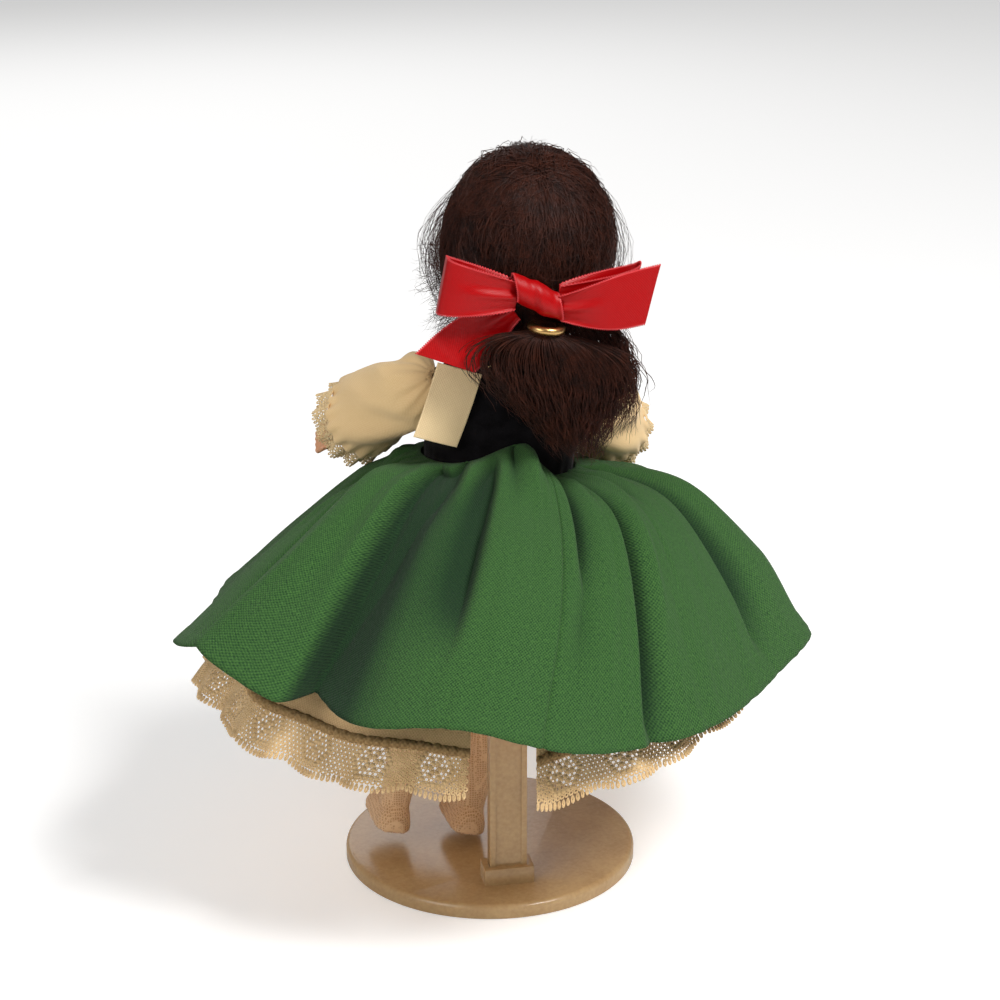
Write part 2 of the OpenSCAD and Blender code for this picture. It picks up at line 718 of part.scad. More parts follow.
// Flat end of ribbon running out from the knot, in front of its loop or behind it
module bow_tail(side, fall, front) {
    rows = 10;
    pinch = 0.45;
    slant = pinch * ribbon_w / 2 * abs(sin(fall));
    function tail_edge(t, w, d) =
        let (s = tail_len * t, half = ribbon_w / 2 * (pinch + (1 - pinch) * sin(90 * t)) * w,
             x = bow_start + slant + s * cos(fall) + half * sin(fall))
        [x, front * (loop_depth(x) + 2 * layer_gap) + d * ribbon_t, -s * sin(fall) + half * cos(fall)];
    low = front < 0 ? -1 : 0;
    rings = [for (v = [0:rows]) let (t = v / rows)
        [tail_edge(t, -1, low), tail_edge(t, 1, low), tail_edge(t, 1, low + 1), tail_edge(t, -1, low + 1)]];
    translate([bow_x, knot_y, bow_z - knot_h / 3]) mirror([side < 0 ? 1 : 0, 0, 0]) loft(rings);
}

module bow_tail_left() {
    color([0.7, 0.07, 0.13]) in_doll() bow_tail(1, 35, -1);
}

module bow_tail_right() {
    color([0.7, 0.07, 0.13]) in_doll() bow_tail(-1, -6, 1);
}

// Arms, made as the left one hanging straight down from its shoulder joint
module in_arm(side, swing) {
    in_doll() mirror([side < 0 ? 1 : 0, 0, 0]) translate([shoulder_x, 0, shoulder_h])
        rotate([-swing, 0, 0]) children();
}

module arm(splay) {
    fore_z = -(arm_len - palm_len);
    difference() {
        union() {
            sphere(shoulder_r);
            rotate([0, -splay, 0]) {
                translate([0, 0, fore_z]) cylinder(r1 = wrist_r, r2 = arm_r, h = -fore_z);
                translate([0, 0, fore_z]) sphere(wrist_r);
                translate([0, 0, fore_z - 2]) hand();
            }
        }
        translate([-shoulder_flat - big, -big / 2, -big / 2]) cube(big);
        knob_pocket(1);
    }
}

// Palm with four fingers and a thumb
module hand() {
    finger_r = 0.95;
    finger_len = palm_len - 5;
    for (k = [0:3]) {
        translate([0, (k - 1.5) * 1.75, 0]) {
            translate([0, 0, -2.6 - finger_len]) cylinder(r = finger_r, h = finger_len + 2.6);
            translate([0, 0, -2.6 - finger_len]) sphere(finger_r);
        }
    }
    translate([-1, -3.5, -2.8]) cube([2, 7, 4.4]);
    translate([0, -3, -1]) rotate([-38, 0, 0]) translate([0, 0, -3.4]) {
        cylinder(r = finger_r, h = 4.2);
        sphere(finger_r);
    }
}

// Gathered, puffed sleeve round the upper arm
module sleeve(splay) {
    rows = 9;
    n = 27;
    difference() {
        rotate([0, -splay, 0]) loft([for (v = [0:rows])
            let (t = v / rows, dome = sqrt(1 - 0.9 * pow(max(0, 1 - t / 0.3), 2)),
                 r = sleeve_r * (sleeve_end + (1 - sleeve_end) * sin(180 * t)) * dome,
                 z = shoulder_r + 2 - (sleeve_len + shoulder_r + 2) * t)
            [for (u = [0:n - 1]) let (a = 360 * u / n)
                [r * (1 + 0.05 * cos(9 * a)) * cos(a), r * (1 + 0.05 * cos(9 * a)) * sin(a), z]]]);
        translate([-sleeve_in - big, -big / 2, -big / 2]) cube(big);
        sphere(shoulder_r + layer_gap);
        rotate([0, -splay, 0]) translate([0, 0, -sleeve_len - 1])
            cylinder(r = arm_r + layer_gap, h = sleeve_len + 1);
    }
}

// Lace frill below the sleeve
module cuff(splay) {
    n = 48;
    top_r = sleeve_r * sleeve_end - cloth_t;
    function cuff_row(v, depth) = [for (u = [0:n - 1])
        let (a = 360 * u / n, r = top_r + cloth_t + v * 0.7 + 0.45 * v * cos(12 * a) - depth)
        [r * cos(a), r * sin(a), -sleeve_len - layer_gap - cuff_len * v / 2]];
    rotate([0, -splay, 0])
        sheet([for (v = [0:2]) cuff_row(v, 0)], [for (v = [0:2]) cuff_row(v, cloth_t)], true);
}

module arm_left() {
    color([0.93, 0.69, 0.52]) in_arm(1, swing_left) arm(splay_left);
}

module sleeve_left() {
    color([0.9, 0.82, 0.65]) in_arm(1, swing_left) sleeve(splay_left);
}

module cuff_left() {
    color([0.92, 0.85, 0.7]) in_arm(1, swing_left) cuff(splay_left);
}

module arm_right() {
    color([0.93, 0.69, 0.52]) in_arm(-1, swing_right) arm(splay_right);
}

module sleeve_right() {
    color([0.9, 0.82, 0.65]) in_arm(-1, swing_right) sleeve(splay_right);
}

module cuff_right() {
    color([0.92, 0.85, 0.7]) in_arm(-1, swing_right) cuff(splay_right);
}

// Legs: radius of the straight leg from the ankle up to the thigh
stocking_top = 62;
leg_keys = [[3, 4], [9, 4.1], [22, 5], [36, 6.2], [47, 5.7], [stocking_top, 6.6], [hip_h - 8, 7.2],
            [hip_h, 7.2]];
stocking_t = 0.35;

// Foot from heel to toe, flat below
function foot_ring(y, w, h, grow, n) =
    [for (u = [0:n - 1])
        let (a = -360 * u / n) [(w + grow) * cos(a), y, max(-grow, (h + grow) * sin(a))]];

module foot(grow) {
    keys = [[6.6, 3, 4], [4.4, 4.7, 7.5], [0, 5.2, 9], [-4, 5.6, 8], [-9, 6.1, 6.2], [-13, 5.4, 4.8],
            [-15.4, 2.8, 3]];
    last = len(keys) - 1;
    loft([for (k = [0:last])
        foot_ring(keys[k][0] + (k == 0 ? grow : k == last ? -grow : 0), keys[k][1], keys[k][2], grow, 18)]);
}

// Place of a leg that leans from its hip joint, with its sole at the height of 0
module in_leg(side) {
    in_doll() at_hip(side) rotate([0, -leg_lean, 0]) children();
}

module leg(side) {
    profile = concat([[0, leg_keys[0][0]]], [for (k = leg_keys) [k[1], k[0]]], [[0, hip_h]]);
    in_doll() at_hip(side) difference() {
        rotate([0, -leg_lean, 0]) {
            hip_ball(side, hip_flat, 0);
            translate([0, 0, -hip_h]) {
                rotate_extrude() polygon(profile);
                foot(0);
            }
        }
        knob_pocket(side);
    }
}

module stocking(side) {
    inner = slot_gap;
    outer = slot_gap + stocking_t;
    keys = [for (k = leg_keys) if (k[0] <= stocking_top) k];
    last = keys[len(keys) - 1];
    function leg_profile(grow, low, high) =
        concat([[0, low]], [[keys[0][1] + grow, low]], [for (k = keys) [k[1] + grow, k[0]]],
               [[last[1] + grow, high]], [[0, high]]);
    in_leg(side) translate([0, 0, -hip_h]) difference() {
        union() {
            rotate_extrude() polygon(leg_profile(outer, 2, stocking_top));
            foot(outer);
        }
        rotate_extrude() polygon(leg_profile(inner, 1, stocking_top + 1));
        foot(inner);
    }
}

module leg_left() {
    color([0.9, 0.67, 0.51]) leg(1);
}

module leg_right() {
    color([0.9, 0.67, 0.51]) leg(-1);
}

module stocking_left() {
    color([0.85, 0.7, 0.55]) stocking(1);
}

module stocking_right() {
    color([0.85, 0.7, 0.55]) stocking(-1);
}

stand_base();
stand_post();
waist_clip();
torso_front();
torso_back();
arm_elastic();
leg_elastic();
neck_elastic();
panties();
petticoat();
petticoat_lace();
skirt();
bodice();
neck_ruffle();
dress_label();
head_shell();
neck_plate();
eye_saddle();
hair_cap();
ponytail();
hair_band();
bow_knot();
bow_loop_left();
bow_loop_right();
bow_tail_left();
bow_tail_right();
eye_left();
eye_right();
eye_axle();
eye_weight();
arm_left();
sleeve_left();
cuff_left();
arm_right();
sleeve_right();
cuff_right();
leg_left();
stocking_left();
leg_right();
stocking_right();
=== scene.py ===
# %% [markdown]
# # A costume doll on its display stand
# This lesson dresses a strung doll: hair, satin bow, velvet bodice, gathered skirt and a lace petticoat.
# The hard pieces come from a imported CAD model, which stays where it is. The soft pieces are modelled here,
# in the same frame and in metres, and each one rides on the CAD body that carries it.

# %% Load the frame
import json
import math
import random

import bmesh
import bpy
from mathutils import Matrix, Vector, noise

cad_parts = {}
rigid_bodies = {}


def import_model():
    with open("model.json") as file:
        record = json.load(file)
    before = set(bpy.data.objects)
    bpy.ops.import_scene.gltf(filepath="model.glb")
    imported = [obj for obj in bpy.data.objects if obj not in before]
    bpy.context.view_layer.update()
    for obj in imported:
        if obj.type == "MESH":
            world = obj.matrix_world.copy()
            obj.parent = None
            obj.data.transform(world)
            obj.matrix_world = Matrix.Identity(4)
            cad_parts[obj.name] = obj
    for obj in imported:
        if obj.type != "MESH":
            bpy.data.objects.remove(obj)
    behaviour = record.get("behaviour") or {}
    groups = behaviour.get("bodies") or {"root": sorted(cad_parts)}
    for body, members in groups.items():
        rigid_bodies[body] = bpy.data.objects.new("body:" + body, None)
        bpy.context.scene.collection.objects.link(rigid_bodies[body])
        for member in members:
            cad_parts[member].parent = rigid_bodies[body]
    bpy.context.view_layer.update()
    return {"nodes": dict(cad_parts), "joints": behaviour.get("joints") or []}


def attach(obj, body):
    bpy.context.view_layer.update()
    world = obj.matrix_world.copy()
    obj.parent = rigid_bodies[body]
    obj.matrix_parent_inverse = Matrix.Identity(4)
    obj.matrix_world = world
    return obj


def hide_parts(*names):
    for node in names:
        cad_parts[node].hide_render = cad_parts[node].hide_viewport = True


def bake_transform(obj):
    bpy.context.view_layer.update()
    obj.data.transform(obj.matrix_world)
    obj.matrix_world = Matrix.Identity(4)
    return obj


for old in list(bpy.data.objects):
    bpy.data.objects.remove(old)
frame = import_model()
nodes = frame["nodes"]
joints = {j["name"]: j for j in frame["joints"]}
print("CAD nodes:", len(nodes), "joints:", sorted(joints))

# %% [markdown]
# The doll leans a little in its clip, so its own frame is turned against the shelf's. The joints tell where
# it is: the neck's axis points up the body, the shoulder's axis runs across it. With a matrix built from
# them, every garment can be written upright, in millimetres above the soles, and put in place at the end.

# %% The doll's own frame
HEAD_H = 172.0
up = Vector(joints["head_turn"]["axis"])
across = -Vector(joints["arm_left_swing"]["axis"])
neck_point = Vector(joints["head_turn"]["pos_m"])
DOLL = Matrix((across, up.cross(across), up)).transposed().to_4x4() @ Matrix.Scale(0.001, 4)
DOLL.translation = neck_point - up * HEAD_H * 0.001
TO_DOLL = DOLL.inverted()


def in_doll(point_m):
    """A point of the shelf's frame, in the doll's own millimetres."""
    return TO_DOLL @ Vector(point_m)


def joint_point(name):
    """The middle of a joint, in the doll's own millimetres."""
    return in_doll(joints[name]["pos_m"])


SHOULDER_H = joint_point("arm_left_swing").z
HIP_H = joint_point("leg_left_swing").z
WAIST_H = 112.0
print("shoulder %.1f, hip %.1f mm above the soles" % (SHOULDER_H, HIP_H))

# %% [markdown]
# Most pieces here are made the same few ways, so the ways come first. A cloth is a flat grid whose points
# are sent to their places by a formula: the grid brings a UV map along, and the weave follows the cloth
# through that map, as threads do. A hard piece with soft corners is a copy of its CAD solid, remeshed and
# smoothed.

# %% Ways to make a piece
def smoothstep(low, high, x):
    """0 below low, 1 above high, and an easy curve between."""
    s = min(1.0, max(0.0, (x - low) / (high - low)))
    return s * s * (3 - 2 * s)


def bell(x, middle, width):
    """A rounded hump of height 1."""
    return math.exp(-((x - middle) / width) ** 2)


def cloth(columns, rows, point, flat, closed=False, crowd=0.0):
    """A grid sent to point(u, v) in the doll's millimetres, with its UV map in metres of flat cloth.
    Crowd draws the columns together in the middle of the grid."""
    bm = bmesh.new()
    uv = bm.loops.layers.uv.new("UVMap")
    bmesh.ops.create_grid(bm, x_segments=columns, y_segments=rows, size=0.5, calc_uvs=True)
    for vert in bm.verts:
        vert.co.x -= crowd * math.sin(2 * math.pi * vert.co.x) / (2 * math.pi)
    for face in bm.faces:
        for loop in face.loops:
            loop[uv].uv = ((loop.vert.co.x + 0.5) * flat[0], (loop.vert.co.y + 0.5) * flat[1])
    for vert in bm.verts:
        vert.co = point(vert.co.x + 0.5, vert.co.y + 0.5)
    if closed:
        bmesh.ops.remove_doubles(bm, verts=bm.verts, dist=1e-4)
    bmesh.ops.recalc_face_normals(bm, faces=bm.faces)
    return bm


def add_object(name, data):
    """Put a mesh, curve, lamp or camera into the scene."""
    obj = bpy.data.objects.new(name, data)
    bpy.context.scene.collection.objects.link(obj)
    return obj


def piece(name, bm, body, material, replaced=(), place=DOLL):
    """Put a bmesh into its place as one named piece that rides on a body."""
    bmesh.ops.transform(bm, matrix=place, verts=bm.verts)
    mesh = bpy.data.meshes.new(name)
    bm.to_mesh(mesh)
    bm.free()
    obj = add_object(name, mesh)
    for item in material if isinstance(material, (list, tuple)) else [material]:
        mesh.materials.append(item)
    mesh.shade_smooth()
    if body:
        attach(obj, body)
    if replaced:
        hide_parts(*replaced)
    return obj


def add_modifier(obj, kind, **settings):
    """One modifier with its settings."""
    modifier = obj.modifiers.new(kind.lower(), kind)
    for key, value in settings.items():
        setattr(modifier, key, value)
    return modifier


def thicken(obj, thickness, offset=0.0):
    """Give a cloth its thickness."""
    return add_modifier(obj, "SOLIDIFY", thickness=thickness, offset=offset, use_even_offset=False)


def apply_modifiers(obj):
    """Make the modifiers' result the piece's own mesh."""
    shown = obj.evaluated_get(bpy.context.evaluated_depsgraph_get())
    mesh = bpy.data.meshes.new_from_object(shown)
    obj.modifiers.clear()
    obj.data = mesh


def soften(bm, verts):
    """One pass of smoothing over some vertices."""
    bmesh.ops.smooth_vert(bm, verts=verts, factor=0.5, use_axis_x=True, use_axis_y=True, use_axis_z=True)


def smooth_copy(node, name, voxel, passes):
    """A copy of a CAD node as one even, softly rounded skin."""
    bm = bmesh.new()
    bm.from_mesh(nodes[node].data)
    bmesh.ops.remove_doubles(bm, verts=bm.verts, dist=1e-6)
    mesh = bpy.data.meshes.new(name)
    bm.to_mesh(mesh)
    bm.free()
    obj = add_object(name, mesh)
    add_modifier(obj, "REMESH", mode="VOXEL", voxel_size=voxel, use_smooth_shade=True)
    apply_modifiers(obj)
    bm = bmesh.new()
    bm.from_mesh(obj.data)
    for _ in range(passes):
        soften(bm, bm.verts)
    bpy.data.objects.remove(obj)
    bpy.data.meshes.remove(mesh)
    return bm


print("helpers ready")

# %% [markdown]
# The camera stands behind the doll, a little above it, and looks down about twenty degrees. A long lens
# keeps the proportions calm. The floor is plain and pale, and the light is soft: a bright lamp high on the
# picture's right, a weaker one on its left, a broad one in front of the doll, and an even grey sky.

# %% Camera, floor and light
CAMERA_AT = (0.1225, 0.6457, 0.3424)
LOOK_AT = (-0.003, 0.0, 0.103)
LAMPS_AIM = (0, 0, 0.12)


def aim(obj, at, target):
    """Put an object at a point, facing another."""
    obj.location = at
    obj.rotation_euler = (Vector(target) - Vector(at)).to_track_quat("-Z", "Y").to_euler()


camera_data = bpy.data.cameras.new("camera")
camera_data.lens = 90.16
camera_data.sensor_width = 36.0
camera_data.shift_y = 0.018
camera = add_object("camera", camera_data)
aim(camera, CAMERA_AT, LOOK_AT)
bpy.context.scene.camera = camera
bpy.context.scene.view_settings.view_transform = "Standard"


def lamp(name, at, size, power):
    """A square soft lamp that faces the doll's waist."""
    data = bpy.data.lights.new(name, "AREA")
    data.size = size
    data.energy = power
    aim(add_object(name, data), at, LAMPS_AIM)


lamp("key", (-0.5, 0.62, 1.08), 0.4, 15.0)
lamp("fill", (0.8, 0.62, 0.7), 0.6, 4.2)
lamp("front", (0.1, -1.3, 0.8), 0.9, 4.0)

world = bpy.data.worlds.new("sky")
bpy.context.scene.world = world
world.use_nodes = True
sky = world.node_tree
sky.nodes["Background"].inputs["Color"].default_value = (1, 1, 1, 1)
sky.nodes["Background"].inputs["Strength"].default_value = 0.22

floor_bm = bmesh.new()
bmesh.ops.create_grid(floor_bm, x_segments=1, y_segments=1, size=6.0)
floor = piece("floor", floor_bm, None, [], place=Matrix.Translation((0, 0, -0.0002)))
print("camera, lamps and floor in place")

# %% [markdown]
# ## Finishes
# A finish on a real doll is never one flat colour: cotton shows its threads, plastic its faint mottling,
# hair its mixed strands. Effects that several finishes share are node groups with named sockets, so each
# material gives them its own colours and thread counts. Colours are written as the eye reads them, from 0
# to 255.

# %% Small tools for node trees
def colour(red, green, blue):
    """A screen colour from 0 to 255 as the linear colour that a shader wants."""
    linear = [c / 12.92 if c <= 0.04045 else ((c + 0.055) / 1.055) ** 2.4
              for c in (red / 255, green / 255, blue / 255)]
    return (*linear, 1.0)


def add_node(tree, kind, inputs=(), **settings):
    """A node with its settings, whose inputs are numbers, colours or other nodes' outputs."""
    node = tree.nodes.new(kind)
    for key, value in settings.items():
        setattr(node, key, value)
    for key, value in dict(inputs).items():
        if isinstance(value, bpy.types.NodeSocket):
            tree.links.new(value, node.inputs[key])
        else:
            node.inputs[key].default_value = value
    return node


def maths(tree, operation, first, second=0.0):
    """The output of one Math node."""
    return add_node(tree, "ShaderNodeMath", {0: first, 1: second}, operation=operation).outputs[0]


def blend_colours(tree, share, first, second, mode="MIX"):
    """The output of one colour Mix node."""
    mixer = add_node(tree, "ShaderNodeMix", {0: share, 6: first, 7: second},
                     data_type="RGBA", blend_type=mode)
    return mixer.outputs[2]


def new_group(name, inputs, outputs):
    """An empty node group with named sockets, and its input and output nodes."""
    tree = bpy.data.node_groups.new(name, "ShaderNodeTree")
    for key, kind in inputs.items():
        tree.interface.new_socket(key, in_out="INPUT", socket_type=kind)
    for key, kind in outputs.items():
        tree.interface.new_socket(key, in_out="OUTPUT", socket_type=kind)
    return tree, tree.nodes.new("NodeGroupInput").outputs, tree.nodes.new("NodeGroupOutput").inputs


def new_material(name, **sockets):
    """A material with its Principled shader, and constant values set on the shader's own sockets."""
    material = bpy.data.materials.new(name)
    material.use_nodes = True
    shader = material.node_tree.nodes["Principled BSDF"]
    for key, value in sockets.items():
        shader.inputs[key.replace("_", " ")].default_value = value
    return material, material.node_tree, shader.inputs


def place_group(tree, group, **values):
    """A group placed in a material with its own values."""
    node = tree.nodes.new("ShaderNodeGroup")
    node.node_tree = group
    for key, value in values.items():
        node.inputs[key.replace("_", " ")].default_value = value
    return node.outputs


def bump(tree, height, distance, strength=1.0):
    """A normal from a height."""
    values = {"Height": height, "Distance": distance, "Strength": strength}
    return add_node(tree, "ShaderNodeBump", values).outputs[0]


def noise_texture(tree, vector, scale, detail):
    """The value of one Noise Texture node."""
    values = {"Vector": vector, "Scale": scale, "Detail": detail}
    return add_node(tree, "ShaderNodeTexNoise", values).outputs[0]


def paint_over(material, share, second):
    """Mix a second colour over a material's own by a share."""
    tree = material.node_tree
    base = tree.nodes["Principled BSDF"].inputs["Base Color"]
    tree.links.new(blend_colours(tree, share, base.links[0].from_socket, second), base)


FLOAT, COLOUR = "NodeSocketFloat", "NodeSocketColor"
print("node tools ready")

# %% [markdown]
# Plain weave is threads going over and under each other. The product of two sine waves along the cloth's UV
# map gives exactly that checkered rise and fall, and noise adds what loom and years add: thicker threads
# here and there, and patches that have faded a little. The height drives a bump, so the threads catch the
# light.

# %% Woven cloth group
TURN = 2 * math.pi
weave, w_in, w_out = new_group(
    "woven cloth",
    {"Threads": FLOAT, "Light": COLOUR, "Dark": COLOUR, "Faded": COLOUR, "Slub": FLOAT, "Fading": FLOAT},
    {"Color": COLOUR, "Height": FLOAT})
uv_map = add_node(weave, "ShaderNodeTexCoord").outputs["UV"]
uv_axes = add_node(weave, "ShaderNodeSeparateXYZ", {0: uv_map}).outputs
waves = []
for axis in (0, 1):
    threads = maths(weave, "MULTIPLY", uv_axes[axis], w_in["Threads"])
    waves.append(maths(weave, "SINE", maths(weave, "MULTIPLY", threads, TURN / 2)))
checks = maths(weave, "MULTIPLY_ADD", maths(weave, "MULTIPLY", *waves), 0.42)
checks.node.inputs[2].default_value = 0.5
slubs = []
for stretch in ((900, 2800, 1), (2800, 900, 1)):
    stretched = add_node(weave, "ShaderNodeMapping", {"Vector": uv_map, "Scale": stretch}).outputs[0]
    slubs.append(noise_texture(weave, stretched, 1.0, 2.0))
streaks = maths(weave, "SUBTRACT", maths(weave, "ADD", *slubs), 1.0)
streaks = maths(weave, "MULTIPLY", streaks, w_in["Slub"])
patches = noise_texture(weave, uv_map, 22.0, 3.0)
patch_share = add_node(weave, "ShaderNodeMapRange", {0: patches, 1: 0.42, 2: 0.68}).outputs[0]
share = add_node(weave, "ShaderNodeClamp", {0: maths(weave, "ADD", checks, streaks)}).outputs[0]
threads_colour = blend_colours(weave, share, w_in["Dark"], w_in["Light"])
faded_share = maths(weave, "MULTIPLY", patch_share, w_in["Fading"])
weave.links.new(blend_colours(weave, faded_share, threads_colour, w_in["Faded"]), w_out["Color"])
weave.links.new(maths(weave, "ADD", checks, streaks), w_out["Height"])


def woven(name, light, dark, faded, threads, slub=0.6, fading=0.35, rise=0.00012, **sockets):
    """A woven material with its own colours and threads per metre."""
    material, tree, shader = new_material(name, **sockets)
    out = place_group(tree, weave, Threads=threads, Light=colour(*light), Dark=colour(*dark),
                      Faded=colour(*faded), Slub=slub, Fading=fading)
    tree.links.new(out["Color"], shader["Base Color"])
    tree.links.new(bump(tree, out["Height"], rise), shader["Normal"])
    return material


green_cotton = woven("green_cotton", (72, 116, 54), (26, 61, 30), (62, 95, 54), 1900, 1.2, 0.22, 0.00018,
                     Roughness=0.9, Sheen_Weight=0.06, Sheen_Roughness=0.5, Specular_IOR_Level=0.25)
tree = green_cotton.node_tree
# Painted shade: a darker green is mixed in by how deep in a fold the cloth lies.
fold_shade = add_node(tree, "ShaderNodeAttribute", attribute_name="fold").outputs["Fac"]
paint_over(green_cotton, maths(tree, "MULTIPLY", fold_shade, 0.8), colour(14, 40, 24))
petticoat_cotton = woven("petticoat_cotton", (244, 206, 152), (214, 172, 118), (236, 200, 150),
                         2300, 0.9, 0.3, 0.0001, Roughness=0.9, Sheen_Weight=0.1)
ivory_cotton = woven("ivory_cotton", (252, 220, 166), (238, 198, 138), (242, 206, 150), 2600, 0.5, 0.5,
                     0.00006, Roughness=0.8, Sheen_Weight=0.15)
label_tape = woven("label_tape", (252, 226, 178), (238, 206, 154), (242, 212, 164), 2600, 0.5, 0.35, 0.00005,
                   Roughness=0.75)
bow_satin = woven("bow_satin", (184, 3, 8), (150, 1, 4), (192, 8, 14), 3400, 0.5, 0.25, 0.00004,
                  Roughness=0.34, Anisotropic=0.4, Specular_IOR_Level=0.25)
tree = bow_satin.node_tree
ribbon_uv = add_node(tree, "ShaderNodeTexCoord").outputs["UV"]
across_ribbon = add_node(tree, "ShaderNodeSeparateXYZ", {0: ribbon_uv}).outputs[1]
from_middle = maths(tree, "ABSOLUTE", maths(tree, "SUBTRACT", across_ribbon, 0.0075))
selvedge = add_node(tree, "ShaderNodeMapRange", {0: from_middle, 1: 0.0070, 2: 0.0072}).outputs[0]
paint_over(bow_satin, selvedge, colour(206, 60, 64))
trim_tape = woven("trim_tape", (176, 144, 96), (138, 108, 66), (160, 130, 88), 1500, 1.0, 0.3, 0.0002,
                  Roughness=0.9)
woven_ones = (green_cotton, petticoat_cotton, ivory_cotton, label_tape, bow_satin, trim_tape)
print("woven finishes:", [material.name for material in woven_ones])

# %% [markdown]
# Everything without a weave still has a grain: moulded plastic is faintly mottled, lace thread is fuzzy,
# velvet pile lies in patches. One group makes such a grain from two noises on the Object coordinates, which
# stay with the piece as it moves.

# %% Grain group and its finishes
grain, g_in, g_out = new_group(
    "grain",
    {"Scale": FLOAT, "Light": COLOUR, "Dark": COLOUR, "Stretch": FLOAT},
    {"Color": COLOUR, "Height": FLOAT})
where = add_node(grain, "ShaderNodeTexCoord").outputs["Object"]
fine = noise_texture(grain, where, g_in["Scale"], 4.0)
broad_scale = maths(grain, "MULTIPLY", g_in["Scale"], g_in["Stretch"])
broad = noise_texture(grain, where, broad_scale, 2.0)
mixed = maths(grain, "MULTIPLY", maths(grain, "ADD", fine, broad), 0.5)
level = add_node(grain, "ShaderNodeMapRange", {0: mixed, 1: 0.36, 2: 0.64}).outputs[0]
grain.links.new(blend_colours(grain, level, g_in["Dark"], g_in["Light"]), g_out["Color"])
grain.links.new(mixed, g_out["Height"])


def grained(name, light, dark, scale, rise, stretch=0.08, **sockets):
    """A grained material with its own colours, grain per metre and relief."""
    material, tree, shader = new_material(name, **sockets)
    out = place_group(tree, grain, Scale=scale, Light=colour(*light), Dark=colour(*dark), Stretch=stretch)
    tree.links.new(out["Color"], shader["Base Color"])
    tree.links.new(bump(tree, out["Height"], rise), shader["Normal"])
    return material


# Painted shade: the stand's pale plastic is given the tan it shows in the warm shade under the skirt.
stand_plastic = grained("stand_plastic", (198, 166, 120), (182, 148, 104), 900, 0.00002, Roughness=0.22)
skin_plastic = grained("skin_plastic", (232, 170, 126), (224, 158, 114), 700, 0.00003, Roughness=0.4,
                       Subsurface_Weight=0.06, Subsurface_Scale=0.002)
black_velvet = grained("black_velvet", (24, 22, 24), (8, 7, 8), 5200, 0.0002, 0.05, Roughness=0.95,
                       Sheen_Weight=0.12, Sheen_Roughness=0.4, Specular_IOR_Level=0.05)
lace_thread = grained("lace_thread", (242, 206, 152), (208, 170, 116), 4200, 0.00012, 0.06, Roughness=0.9,
                      Sheen_Weight=0.2)
cuff_thread = grained("cuff_thread", (250, 222, 170), (226, 192, 136), 4200, 0.00012, 0.06, Roughness=0.9,
                      Sheen_Weight=0.2)
elastic_cord = grained("elastic_cord", (236, 230, 214), (214, 206, 188), 3000, 0.0001, Roughness=0.8)
plain_steel = grained("plain_steel", (190, 190, 188), (160, 160, 160), 1200, 0.00001,
                      Roughness=0.35, Metallic=1.0)
inner_plastic = grained("inner_plastic", (226, 214, 190), (210, 196, 172), 900, 0.00002, Roughness=0.5)
cast_weight = grained("cast_weight", (92, 92, 96), (66, 66, 70), 1500, 0.00008, Roughness=0.6, Metallic=0.8)
ring_brass = grained("ring_brass", (222, 184, 122), (196, 152, 92), 2500, 0.00002,
                     Roughness=0.3, Metallic=1.0)
white_jersey = grained("white_jersey", (244, 240, 230), (226, 220, 206), 3600, 0.0001, 0.1, Roughness=0.9,
                       Sheen_Weight=0.1)
painted_lash = grained("painted_lash", (58, 34, 24), (40, 22, 16), 3000, 0.00002, Roughness=0.5)

hair_tints = []
for tint_name, light, dark in (
        ("hair_dark", (70, 32, 18), (32, 13, 7)),
        ("hair_brown", (148, 74, 42), (88, 42, 23)),
        ("hair_red", (228, 128, 74), (160, 84, 48))):
    hair_tints.append(grained(tint_name, light, dark, 1500, 0.00002, 0.2, Roughness=0.48,
                              Specular_IOR_Level=0.24))
print("grained finishes and", len(hair_tints), "tints of hair")

# %% [markdown]
# Net stockings let the skin show between their threads. A Voronoi texture with low randomness gives small
# even cells on any surface: near a cell's edge lies a thread, in its middle the darker skin. The floor is
# pale, and a little extra light that only the camera sees lifts it to white, while shadows stay on it.

# %% Stocking net and floor
stocking_net, tree, shader = new_material("stocking_net", Roughness=0.7, Sheen_Weight=0.2)
position = add_node(tree, "ShaderNodeTexCoord").outputs["Object"]
cells = add_node(tree, "ShaderNodeTexVoronoi", {"Vector": position, "Scale": 1400.0, "Randomness": 0.35},
                 feature="DISTANCE_TO_EDGE").outputs["Distance"]
opening = add_node(tree, "ShaderNodeMapRange", {0: cells, 1: 0.1, 2: 0.24}).outputs[0]
net_colour = blend_colours(tree, opening, colour(244, 204, 158), colour(214, 162, 114))
tree.links.new(net_colour, shader["Base Color"])
tree.links.new(bump(tree, maths(tree, "SUBTRACT", 1.0, opening), 0.00015), shader["Normal"])

pale_floor, tree, shader = new_material("pale_floor", Roughness=0.9, Specular_IOR_Level=0.1)
dust = add_node(tree, "ShaderNodeTexNoise", {"Scale": 3.0}).outputs[0]
tree.links.new(blend_colours(tree, dust, colour(238, 237, 236), colour(240, 240, 239)), shader["Base Color"])
seen = add_node(tree, "ShaderNodeLightPath").outputs["Is Camera Ray"]
glow = add_node(tree, "ShaderNodeEmission", {"Strength": maths(tree, "MULTIPLY", seen, 0.36)})
both = add_node(tree, "ShaderNodeAddShader", {0: shader["Base Color"].node.outputs[0], 1: glow.outputs[0]})
tree.links.new(both.outputs[0], tree.nodes["Material Output"].inputs["Surface"])
floor.data.materials.append(pale_floor)
print("stocking net and floor ready")

# %% [markdown]
# ## Stand, limbs and the works inside
# The stand and everything inside the doll keep their CAD solids. Moulded plastic never has a knife edge, so
# after a Weld the stand and a few inner pieces get a Bevel modifier. A small geometry node group shades
# faces smooth unless they meet at a clear angle; as a modifier it leaves the solid's own mesh alone.

